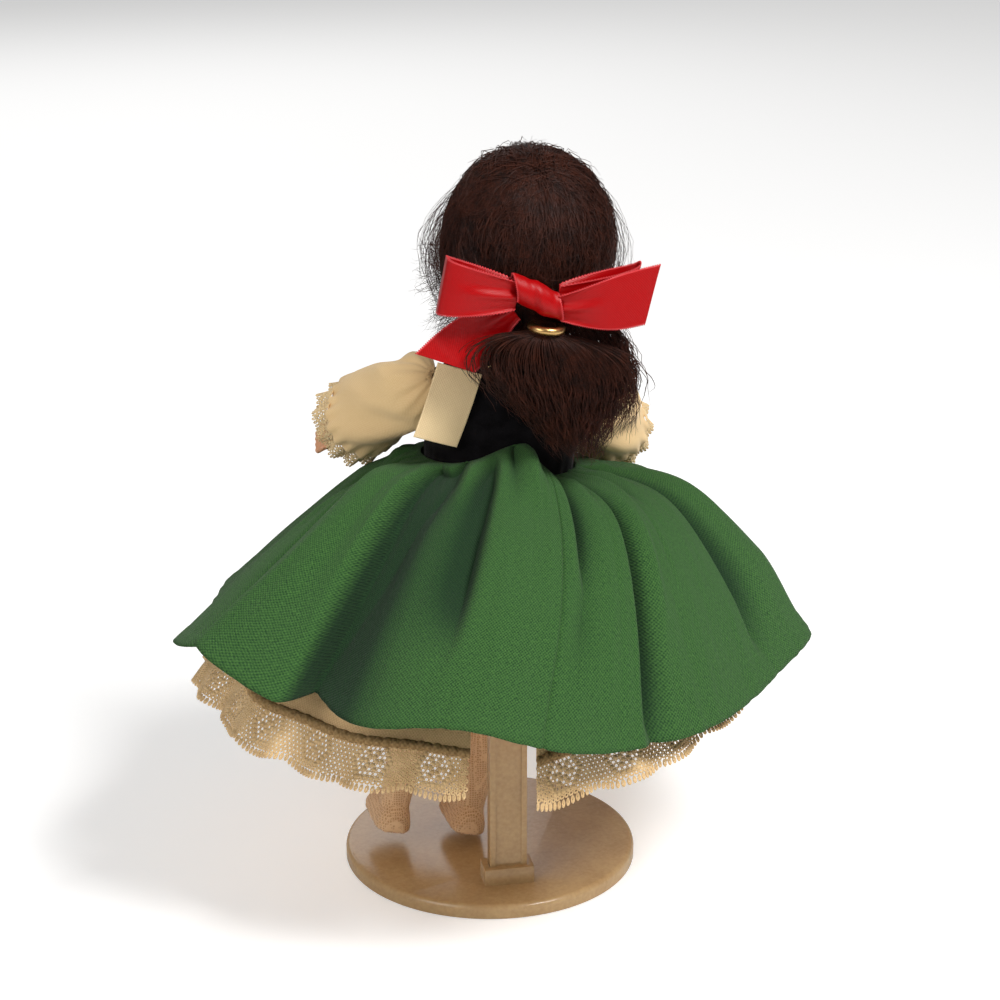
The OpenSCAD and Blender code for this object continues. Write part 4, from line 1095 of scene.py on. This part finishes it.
# %% Eyes that sleep
# The angles of the lid's two cuts about the axle, then its lift off the ball and its thickness.
LID_EDGE, LID_BACK = math.radians(33), math.radians(140)
LID_LIFT, LID_THICK = 0.06, 0.00004
eye_gloss, tree, shader = new_material("eye_gloss", Roughness=0.07, Coat_Weight=0.4)
sight = add_node(tree, "ShaderNodeAttribute", attribute_name="sight").outputs["Fac"]
ramp = add_node(tree, "ShaderNodeValToRGB", {0: sight})
stops = ((0.0, (12, 9, 8)), (0.2, (14, 10, 9)), (0.23, (96, 58, 32)), (0.42, (124, 78, 42)),
         (0.5, (52, 30, 18)), (0.55, (236, 232, 226)), (1.0, (224, 216, 206)))
while len(ramp.color_ramp.elements) < len(stops):
    ramp.color_ramp.elements.new(0.5)
for element, (place, shade) in zip(ramp.color_ramp.elements, stops):
    element.position = place
    element.color = colour(*shade)
spokes = noise_texture(tree, add_node(tree, "ShaderNodeTexCoord").outputs["Object"], 1800.0, 3.0)
spoke_share = maths(tree, "MULTIPLY", spokes, 0.35)
iris = blend_colours(tree, spoke_share, ramp.outputs[0], colour(60, 36, 22), "MULTIPLY")
tree.links.new(iris, shader["Base Color"])

for side, sign in (("left", 1), ("right", -1)):
    middle = Vector((sign * EYE_X, eye_middle.y, eye_middle.z))
    bm = bmesh.new()
    look = bm.verts.layers.float.new("sight")
    bmesh.ops.create_uvsphere(bm, u_segments=64, v_segments=48, radius=EYE_R,
                              matrix=Matrix.Rotation(TURN / 4, 4, "X"))
    for vert in bm.verts:
        vert[look] = min(1.0, vert.co.normalized().angle(Vector((-sign * 0.03, -1, 0.02))))
        vert.co += middle
    piece("eyeball_" + side, bm, "eyes", eye_gloss, ("eye_" + side,))
    bm = bmesh.new()
    bmesh.ops.create_uvsphere(bm, u_segments=48, v_segments=32, radius=EYE_R + LID_LIFT,
                              matrix=Matrix.Rotation(TURN / 4, 4, "Y"))
    cut_away(bm, (0, 0, 0), (0, -math.sin(LID_EDGE), -math.cos(LID_EDGE)))
    cut_away(bm, (0, 0, 0), (0, math.sin(LID_BACK), math.cos(LID_BACK)))
    bmesh.ops.translate(bm, verts=bm.verts, vec=middle)
    lid = piece("eyelid_" + side, bm, "eyes", skin_plastic)
    thicken(lid, LID_THICK, -1)
print("eyes and lids ride on 'eyes'")

# %% [markdown]
# Brows and lashes are fine painted strokes. Short tapered strokes laid on the surface, each a thin cone
# turned to follow the brow, show the brush better than a flat stripe.

# %% Brows and lashes
def face_surface(x, z, lift):
    """A point on the face at x across and z up, lifted a little."""
    y = -HEAD_HALF.y * math.sqrt(max(0.0, 1 - (x / HEAD_HALF.x) ** 2 - (z / HEAD_HALF.z) ** 2))
    dent = -face_bell(x, z, *FACE["eye hollows"])
    return HEAD + Vector((x, y - lift + dent, z))


def stroke(bm, start, end, thick):
    """A tapered stroke between two points."""
    run = end - start
    turned = run.to_track_quat("Z", "Y").to_matrix().to_4x4()
    bmesh.ops.create_cone(bm, cap_ends=True, segments=5, radius1=thick, radius2=thick * 0.25,
                          depth=run.length, matrix=Matrix.Translation((start + end) / 2) @ turned)


def shares(count):
    """Even shares of a way, from 0 to 1, for a number of points."""
    return [k / (count - 1) for k in range(count)]


BROW_STROKES, LASHES = 34, 17
strokes = bmesh.new()
random.seed(5)
for sign in (-1, 1):
    for s in shares(BROW_STROKES):
        arch = 6.0 + 1.7 * math.sin(math.pi * (0.15 + 0.7 * s))
        x, z = sign * (4.6 + 8.4 * s), arch + random.uniform(-0.25, 0.25)
        stroke(strokes, face_surface(x, z, 0.05), face_surface(x + sign * 1.1, z + 0.5 - 0.8 * s, 0.1), 0.12)
    for share in shares(LASHES):
        s = share * 2 - 1
        x, z = sign * EYE_X + 4.4 * s, 2.9 * math.sqrt(max(0.0, 1 - s * s)) + 0.35 * sign * s * 0.9 - 0.4
        root = face_surface(x, z, 0.0)
        stroke(strokes, root, root + Vector((0.7 * s, -0.9, 1.0)), 0.11)
piece("brows_and_lashes", strokes, "head", painted_lash)
print("brush strokes:", 2 * (BROW_STROKES + LASHES))

# %% [markdown]
# ## Hair
# The wig is combed from the crown down to a brass ring, with a fringe in front and a short frizzy tail
# below. Every fibre of the real wig would be too heavy, so there is a dark scalp underneath and about
# twelve thousand strands over it, each a curve with a bevel, turned into mesh. Three tints shared out at
# random give the mixed brown of the real fibre.

# %% Scalp under the strands
CROWN = Vector((0.05, 0.5, 0.86)).normalized()
RING = Vector((-2.2, 26.6, 157.6))
TO_RING = (RING - HEAD).normalized()


def on_head(way, lift):
    """A point over the head towards a direction, lifted off the skin."""
    way = way.normalized()
    return HEAD + Vector([way[k] * (HEAD_HALF[k] + lift) for k in range(3)])


def hairline(way):
    """How far inside the hair a direction is: below 0 is face or neck."""
    face = math.hypot(way.x / 0.82, (way.z + 0.28) / 0.72)
    ahead = smoothstep(0.35, -0.05, way.y)
    return min((face - 1.0) + 3.0 * (1 - ahead), way.z + 0.84)


bm = bmesh.new()
bmesh.ops.create_uvsphere(bm, u_segments=120, v_segments=90, radius=1.0)
bare = [f for f in bm.faces if hairline(f.calc_center_median().normalized()) < 0]
bmesh.ops.delete(bm, geom=bare, context="FACES")
bmesh.ops.delete(bm, geom=[v for v in bm.verts if not v.link_faces], context="VERTS")
rim = [v for v in bm.verts if v.is_boundary]
for _ in range(12):
    soften(bm, rim)
for vert in bm.verts:
    vert.co = on_head(vert.co, 0.7 + 0.5 * smoothstep(0.0, 0.2, hairline(vert.co.normalized())))
scalp = piece("wig_scalp", bm, "head", hair_tints[0], ("hair_cap",))
thicken(scalp, 0.0004, -1)
print("scalp:", len(scalp.data.polygons), "faces")

# %% [markdown]
# A strand is a list of points. On the head its way runs along the sphere: it starts near the crown, swings
# out over the side that it is combed to, and ends at the ring. Mixing the three directions much as a
# quadratic Bezier curve does gives that sweep. Noise along the strand adds the frizz of old fibre, and some
# strands stop early and stand off, which breaks the smooth cap into hair.

# %% Strands to mesh
def strands_to_mesh(name, strands, body, replaced=()):
    """Make strands, each (points, radius, tint), into one mesh piece of thin tubes."""
    curve = bpy.data.curves.new(name, "CURVE")
    curve.dimensions = "3D"
    curve.bevel_depth = 1.0
    curve.bevel_resolution = 0
    for points, radius, tint in strands:
        spline = curve.splines.new("POLY")
        spline.points.add(len(points) - 1)
        spline.material_index = tint
        for k, (knot_at, p) in enumerate(zip(spline.points, points)):
            knot_at.co = (*(DOLL @ p), 1.0)
            taper = min(1.0, 3.2 * (len(points) - 1 - k) / (len(points) - 1) + 0.25)
            knot_at.radius = radius * 0.001 * taper
    holder = add_object(name, curve)
    for tint in hair_tints:
        curve.materials.append(tint)
    mesh = bpy.data.meshes.new_from_object(holder.evaluated_get(bpy.context.evaluated_depsgraph_get()))
    bpy.data.objects.remove(holder)
    mesh.name = name
    obj = add_object(name, mesh)
    mesh.shade_smooth()
    if body:
        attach(obj, body)
    if replaced:
        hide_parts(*replaced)
    return obj


def pick_tint(dark=0.4, red=0.2):
    """Mostly brown, with dark and reddish strands between."""
    return random.choices((0, 1, 2), (dark, 1 - dark - red, red))[0]


# Blender's vector noise is offset by the clock until it is given a seed.
noise.seed_set(8)


def frizz(seed, s, size):
    """A small wander of a strand at s of the way along it."""
    return noise.noise_vector(Vector((seed * 7.1, s * 4.5, seed * 3.3))) * size + noise.noise_vector(
        Vector((seed * 5.7, s * 13.0, 2.0))) * size * 0.35


east = (Vector((1, 0, 0)) - CROWN * CROWN.x).normalized()
north = CROWN.cross(east)


def combed_strand(azimuth, lift):
    """A strand from the crown over one side of the head to the ring, or stopping short of it."""
    out_way = east * math.cos(azimuth) + north * math.sin(azimuth)
    root = CROWN + out_way * random.uniform(0.0, 0.5)
    root = (root + CROWN.cross(out_way) * random.uniform(-0.25, 0.25)).normalized()
    bow_out = (out_way + CROWN * random.uniform(-0.1, 0.25)).normalized()
    stops = random.random() < 0.36
    reach, seed = random.uniform(0.35, 0.85) if stops else 1.0, random.random() * 50
    size = random.uniform(0.5, 1.3)
    if random.random() < (0.5 if out_way.x < 0 else 0.25):
        size += random.uniform(0.8, 3.0)
    points = []
    for share in shares(14):
        s = share * reach
        way = root * (1 - s) ** 2 + bow_out * (2.1 * s * (1 - s)) + TO_RING * s * s
        stand = 1.6 * share ** 2 if stops else 0.3 * math.sin(math.pi * s)
        loosened = size * math.sin(math.pi * min(1, s * 1.05 + 0.05))
        points.append(on_head(way, lift + stand) + frizz(seed, s, loosened))
    if not stops:
        spread = (random.uniform(-2.2, 2.2), random.uniform(-2.4, 1.6), random.uniform(0, 1.5))
        points[-1] = RING + Vector(spread)
    return points


COMBED_STRANDS = 4600
random.seed(21)
combed = {"back_left": [], "back_right": [], "front_left": [], "front_right": []}
for _ in range(COMBED_STRANDS):
    azimuth = random.uniform(0, TURN)
    way = east * math.cos(azimuth) + north * math.sin(azimuth)
    part = ("front" if way.y < 0.25 else "back") + ("_left" if way.x > 0 else "_right")
    points = combed_strand(azimuth, random.uniform(0.9, 2.1))
    combed[part].append((points, random.uniform(0.06, 0.13), pick_tint(0.3, 0.25)))
wig_parts = [strands_to_mesh("wig_" + part, strands, "head") for part, strands in combed.items()]
print("combed strands:", {part: len(strands) for part, strands in combed.items()})

# %% [markdown]
# Short ends lie across the combed hair wherever it is worn. Each starts at a point of a combed strand,
# leaves it at a random angle and bends, and there are more of them on the doll's right, where the wig is
# rubbed.

# %% Short ends across the combed hair
END_STEPS = 7
ENDS_LEFT, ENDS_RIGHT = 600, 900


def short_end(points):
    """A short curved end that leaves a combed strand somewhere in its middle."""
    k = random.randrange(2, len(points) - 4)
    start = points[k]
    out = (start - HEAD).normalized()
    ahead = (points[k + 1] - start).normalized()
    turn = Matrix.Rotation(random.gauss(0, 0.7), 3, out)
    bend, long = random.uniform(-1.4, 1.4), random.uniform(4, 11)
    spot, ends = start + out * random.uniform(0.0, 0.5), []
    for step in range(END_STEPS + 1):
        ends.append(spot.copy())
        way = Matrix.Rotation(bend * step / END_STEPS, 3, out) @ (turn @ ahead)
        off = way.dot((spot - HEAD).normalized()) - random.uniform(0.0, 0.12)
        spot += (way - out * off) * long / END_STEPS
    return ends, random.uniform(0.05, 0.09), pick_tint(0.15, 0.45)


ends = [short_end(random.choice(combed["back_left"])[0]) for _ in range(ENDS_LEFT)]
ends += [short_end(random.choice(combed["back_right"])[0]) for _ in range(ENDS_RIGHT)]
strands_to_mesh("wig_ends", ends, "head")
print("short ends:", len(ends))

# %% [markdown]
# The fringe is combed forward and cut above the brows. The tail hangs from the ring as a broad, frizzy mass
# that rests on the back: its strands spread quickly, wave and curl at their ends. It has to follow the head
# at the ring and stay on the back below; its pieces ride on no body and stay where they are made.

# %% Fringe and tail
FRINGE_STRANDS, NAPE_STRANDS, TAIL_STRANDS = 800, 1100, 1000
fringe_hair = []
for _ in range(FRINGE_STRANDS):
    bearing = math.radians(random.uniform(-80, 80))
    end_way = Vector((math.sin(bearing) * 0.9, -math.cos(bearing) * 0.86,
                      random.uniform(0.36, 0.46) - 0.25 * abs(math.sin(bearing))))
    root = (CROWN + Vector((math.sin(bearing) * 0.25, -0.3, 0.05))).normalized()
    lift, seed = random.uniform(1.0, 2.2), random.random() * 50
    points = []
    for s in shares(12):
        way = root * (1 - s) + end_way * s + Vector((0, -0.1, 0.5)) * s * (1 - s)
        points.append(on_head(way, lift + 0.5 * math.sin(math.pi * s)) + frizz(seed, s, 0.5))
    fringe_hair.append((points, random.uniform(0.08, 0.16), pick_tint()))
fringe = strands_to_mesh("wig_fringe", fringe_hair, "head")

TAIL_TOP, TAIL_LEN = 158.2, 34.2


def tail_strand():
    """A wavy strand of the tail, from the ring down to a curled end."""
    angle, spread = random.uniform(0, TURN), math.sqrt(random.uniform(0.02, 1.0))
    ways = spread * math.cos(angle), spread * math.sin(angle)
    stray = random.random() < 0.3
    curl, phase = random.uniform(0.5, 1.7) * (1.7 if stray else 1.0), random.uniform(0, TURN)
    waves, reach = random.uniform(1.2, 3.4), random.uniform(0.4, 0.8) if stray else random.uniform(0.6, 1.06)
    wide, seed = random.uniform(17, 25) if stray else 15.0, random.random() * 50
    points = []
    for share in shares(22):
        t = share * reach
        s = max(0.0, t - 0.06) / 0.94
        swell = math.sin(math.radians(165) * min(1.0, s) ** 0.55)
        turned = TURN * waves * s + phase
        x = RING.x - 13 * s + (2.5 + wide * swell) * ways[0] + curl * s * math.sin(turned)
        y = RING.y + (2.5 + 3.6 * swell) * ways[1] + 0.6 * curl * s * math.cos(turned)
        points.append(Vector((x, y, TAIL_TOP - TAIL_LEN * t)) + frizz(seed, s, (3.4 if stray else 2.2) * s))
    return points, random.uniform(0.06, 0.12), pick_tint(0.35, 0.25)


def nape_strand():
    """A strand that falls from under the bow beside the ring and joins the tail."""
    share = random.uniform(-1.2, 0.7)
    way = Vector((-0.16 + 0.62 * share, 0.8, -0.3 - 0.12 * random.random()))
    start, left = on_head(way, random.uniform(1.2, 2.6)), max(0.0, share)
    end = Vector((RING.x - 9 + 15 * share, RING.y + random.uniform(-4.5, 1.5) - 4 * left,
                  random.uniform(128, 146)))
    curl, phase = random.uniform(0.4, 2.2), random.uniform(0, TURN)
    waves, seed = random.uniform(1, 3), random.random() * 50
    points = []
    for s in shares(18):
        spot = start.lerp(end, s) + Vector((3.5 * share, 2.2 - 3 * left, 0)) * math.sin(math.pi * s)
        wave = TURN * waves * s + phase
        swirl = Vector((math.cos(wave), 0.6 * math.sin(wave), 0.5 * math.sin(wave)))
        points.append(spot + swirl * curl * s + frizz(seed, s, 2.0 * s))
    return points, random.uniform(0.05, 0.11), pick_tint(0.35, 0.25)


nape = strands_to_mesh("wig_nape", [nape_strand() for _ in range(NAPE_STRANDS)], None)
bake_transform(nape)
for number, replaced in ((1, ("ponytail",)), (2, ())):
    strands = [tail_strand() for _ in range(TAIL_STRANDS)]
    tail = strands_to_mesh("wig_tail_%d" % number, strands, None, replaced)
    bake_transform(tail)
print("hair:", [len(o.data.polygons) for o in (*wig_parts, fringe, tail)], "faces")

# %% [markdown]
# Old doll hair comes loose. Fine curly strands stand off both sides of the head, more of them on the doll's
# left. They are few, but without them the wig reads as a helmet.

# %% Loose strands
def loose_curl(sign):
    """A fine strand that leaves the side of the head low down in a loose curl."""
    root = Vector((sign * random.uniform(0.75, 1.0), random.uniform(-0.1, 0.5), random.uniform(-0.9, 0.1)))
    away = Vector((sign * random.uniform(0.3, 1.2), random.uniform(-0.2, 0.4), random.uniform(-0.8, 0.1)))
    long, turns, curl = random.uniform(4, 13), random.uniform(0.5, 1.8), random.uniform(0.8, 3.0)
    start, phase, seed = on_head(root, 1.6), random.uniform(0, TURN), random.random() * 50
    points = []
    for s in shares(18):
        wave = TURN * turns * s + phase
        swirl = Vector((math.cos(wave) - math.cos(phase), 0.5 * math.sin(wave),
                        math.sin(wave) - math.sin(phase)))
        spot = start + away * long * s * 0.6 + Vector((0, 0, -3.5 * s * s))
        points.append(spot + swirl * curl * s + frizz(seed, s, 0.8 * s))
    return points, random.uniform(0.03, 0.055), pick_tint(0.4, 0.3)


def loose_arc(sign):
    """A long strand that lifts off the head near the crown and follows its side at a distance."""
    tilt, high, low = random.uniform(-0.1, 0.45), random.uniform(0.5, 0.95), random.uniform(-0.75, -0.2)
    stand, seed = random.uniform(1.0, 7.0), random.random() * 50
    points = []
    for s in shares(20):
        height = high + (low - high) * s
        way = Vector((sign * math.sqrt(max(0.03, 1 - height * height)), tilt, height))
        off = 1.2 + stand * math.sin(math.pi * s * 0.8) ** 1.3
        points.append(on_head(way, off) + frizz(seed, s, 0.6 + 1.6 * s))
    return points, random.uniform(0.03, 0.05), pick_tint(0.4, 0.3)


loose = []
for strand, sign, count in (
        (loose_curl, 1, 300), (loose_curl, -1, 90), (loose_arc, 1, 130), (loose_arc, -1, 40)):
    loose += [strand(sign) for _ in range(count)]
strands_to_mesh("wig_loose", loose, "head")
print("loose strands:", len(loose))

# %% [markdown]
# The sides beside the face are combed back too. These strands start along the hairline at the temples and
# cheeks, lie over the cap's edge and run round the head to the ring.

# %% Hair at the temples
TEMPLE_STRANDS, TEMPLE_REACH = 650, 0.92
random.seed(33)
temple_hair = []
for sign in (-1, 1):
    for _ in range(TEMPLE_STRANDS):
        t = random.uniform(-0.85, 1.0)
        x, z = sign * 0.82 * math.cos(t), -0.28 + 0.72 * math.sin(t)
        root = Vector((x, -math.sqrt(max(0.02, 1 - x * x - z * z)), z))
        root = (root + Vector((sign, 0.6, 0)) * random.uniform(-0.03, 0.14)).normalized()
        middle = Vector((sign * 1.25, 0.25, root.z * 0.75)).normalized()
        lift, seed, size = random.uniform(0.9, 1.9), random.random() * 50, random.uniform(0.3, 0.9)
        points = []
        for share in shares(14):
            s = share * TEMPLE_REACH
            way = root * (1 - s) ** 2 + middle * (2.1 * s * (1 - s)) + TO_RING * s * s
            points.append(on_head(way, lift) + frizz(seed, s, size * math.sin(math.pi * min(1, s + 0.05))))
        temple_hair.append((points, random.uniform(0.07, 0.13), pick_tint(0.3, 0.25)))
strands_to_mesh("wig_temples", temple_hair, "head")
print("temple strands:", len(temple_hair))

# %% [markdown]
# ## Bow
# The bow is one satin ribbon, about 15 mm wide, with tiny loops along both selvedges. Loops and tails are
# flat strips that run out from the knot, so each is a grid along the ribbon and across it: at the knot the
# ribbon is pinched into pleats, further out it opens to its full width. The selvedge is a quick scallop of
# the edge rows, fine enough to read as the woven loops.

# %% Ribbon strips
BOW = Vector((1.6, 28.1, 166.0))
RIBBON_W = 15.0
PICOT = 0.55


def ribbon(name, length, path, width, pleats, slant=0.0):
    """A strip of ribbon: path(s) gives its middle, its sideways direction and its outward direction."""
    columns = int(length / PICOT * 4)

    def ribbon_point(u, v):
        """A point of the strip at u along it and v across it."""
        across_ribbon = 2 * v - 1
        middle, sideways, outward = path(u * (1 + slant * across_ribbon))
        half = width(u)
        picot = 0.22 * math.sin(TURN * u * length / PICOT) * smoothstep(0.93, 1.0, abs(across_ribbon))
        shift = half * across_ribbon + picot * (1 if across_ribbon > 0 else -1)
        return middle + sideways * shift + outward * pleats(u, across_ribbon)

    bm = cloth(columns, 30, ribbon_point, (length * 0.001, RIBBON_W * 0.001))
    obj = piece(name, bm, "head", bow_satin)
    thicken(obj, 0.00022)
    return obj


def pinch(u, v, far):
    """Pleats that the knot presses into the ribbon, fading towards far."""
    fade = 1 - smoothstep(0.0, far, u)
    return fade * (0.55 * math.cos(5.2 * v + 0.6) + 0.16 * math.cos(11 * v))


print("ribbon is", RIBBON_W, "mm wide, one picot every", PICOT, "mm")

# %% [markdown]
# A loop runs out along its front layer, rounds the fold and comes back behind. Its middle line is a flat
# hairpin whose two legs stand apart by the ribbon's bulge. The left loop lies over its tail; on the right
# the tail is the nearer one, so it is drawn in front of its loop.

# %% Loops and tails
def loop_path(side, reach, rise, twist):
    """The middle line of a loop as a hairpin, with the ribbon's directions."""
    def path(u):
        """Middle and directions at u of the way out and back."""
        way = 1 - abs(2 * u - 1)
        bulge = 0.75 + 2.5 * math.sin(math.pi * min(1.0, way ** 0.8)) if way < 1 else 0.75
        leg = math.cos(math.pi * smoothstep(0.44, 0.56, u))
        x = 5.6 + (reach - 5.6) * math.sin(0.5 * math.pi * min(1.0, way * 1.04)) ** 0.9
        tilt = math.radians(twist * way)
        middle = BOW + Vector((side * x, bulge * leg, rise * way))
        return middle, Vector((side * math.sin(tilt), 0, math.cos(tilt))), Vector((0, leg, 0))
    return path


def loop_width(u):
    """Half the width of a loop along its way."""
    way = 1 - abs(2 * u - 1)
    return 3.6 + (RIBBON_W / 2 - 3.6) * math.sin(0.5 * math.pi * way ** 0.75)


def loop_pleats(u, v):
    """The pleats of a loop, deepest at the knot."""
    way = 1 - abs(2 * u - 1)
    return pinch(way, v, 0.7)


def tail_path(side, fall, front, length, curl):
    """The middle line of a tail, with a gentle wave along it."""
    slope = math.radians(fall)

    def path(u):
        """Middle and directions at u of the way out."""
        run = length * u
        depth = front * (1.6 + 2.6 * math.sin(math.pi * u ** 0.8)) + curl * u * u
        x, z = side * (5.8 + run * math.cos(slope)), front - 3.2 - run * math.sin(slope)
        middle = BOW + Vector((x, depth, z))
        return middle, Vector((side * math.sin(slope), 0, math.cos(slope))), Vector((0, 1, 0))
    return path


def tail_width(u):
    """Half the width of a tail along its way."""
    return 3.4 + (RIBBON_W / 2 - 3.4) * math.sin(0.5 * math.pi * min(1.0, u * 1.25))


def tail_pleats(u, v):
    """The pleats of a tail, with a slow wave towards its end."""
    return pinch(u, v, 0.55) + 0.5 * math.sin(math.pi * (u * 1.2 + 0.3 * v)) * u


left_loop = ribbon("bow_ribbon_loop_left", 44, loop_path(1, 25.6, 1.5, -4), loop_width, loop_pleats)
right_loop = ribbon("bow_ribbon_loop_right", 44, loop_path(-1, 25.4, 4.0, 6), loop_width, loop_pleats)
left_tail = ribbon("bow_ribbon_tail_left", 25, tail_path(1, 43, -1, 22.5, 1.2), tail_width, tail_pleats, 0.2)
right_tail = ribbon("bow_ribbon_tail_right", 24, tail_path(-1, -13, 1, 25.0, 0.6), tail_width, tail_pleats,
                    0.12)
for obj, node in ((left_loop, "bow_loop_left"), (right_loop, "bow_loop_right"), (left_tail, "bow_tail_left"),
                  (right_tail, "bow_tail_right")):
    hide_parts(node)


def knot_point(u, v):
    """A point of the knot: the ribbon wraps round once, drawn in at the middle with long creases."""
    angle, across_knot = u * TURN, 2 * v - 1
    wide = 6.4 * across_knot
    crease = 0.3 * math.cos(6.5 * across_knot + 1.2) + 0.1 * math.cos(13 * across_knot + 0.5)
    round_part = 1.0 - 0.16 * across_knot ** 2
    y = (3.3 * round_part + crease) * math.sin(angle)
    z = (4.2 * round_part + 0.6 * crease) * math.cos(angle)
    picot = 0.18 * math.sin(TURN * u * 42) * smoothstep(0.93, 1.0, abs(across_knot))
    return Vector((wide + picot + 1.0 * math.cos(angle), y, z + 0.34 * wide))


bm = cloth(240, 40, knot_point, (0.023, 0.015), True)
knot = piece("bow_ribbon_knot", bm, "head", bow_satin, ("bow_knot",),
             DOLL @ Matrix.Translation(BOW))
thicken(knot, 0.00025)
print("bow:", [len(o.data.polygons) for o in (left_loop, right_loop, left_tail, right_tail, knot)], "faces")
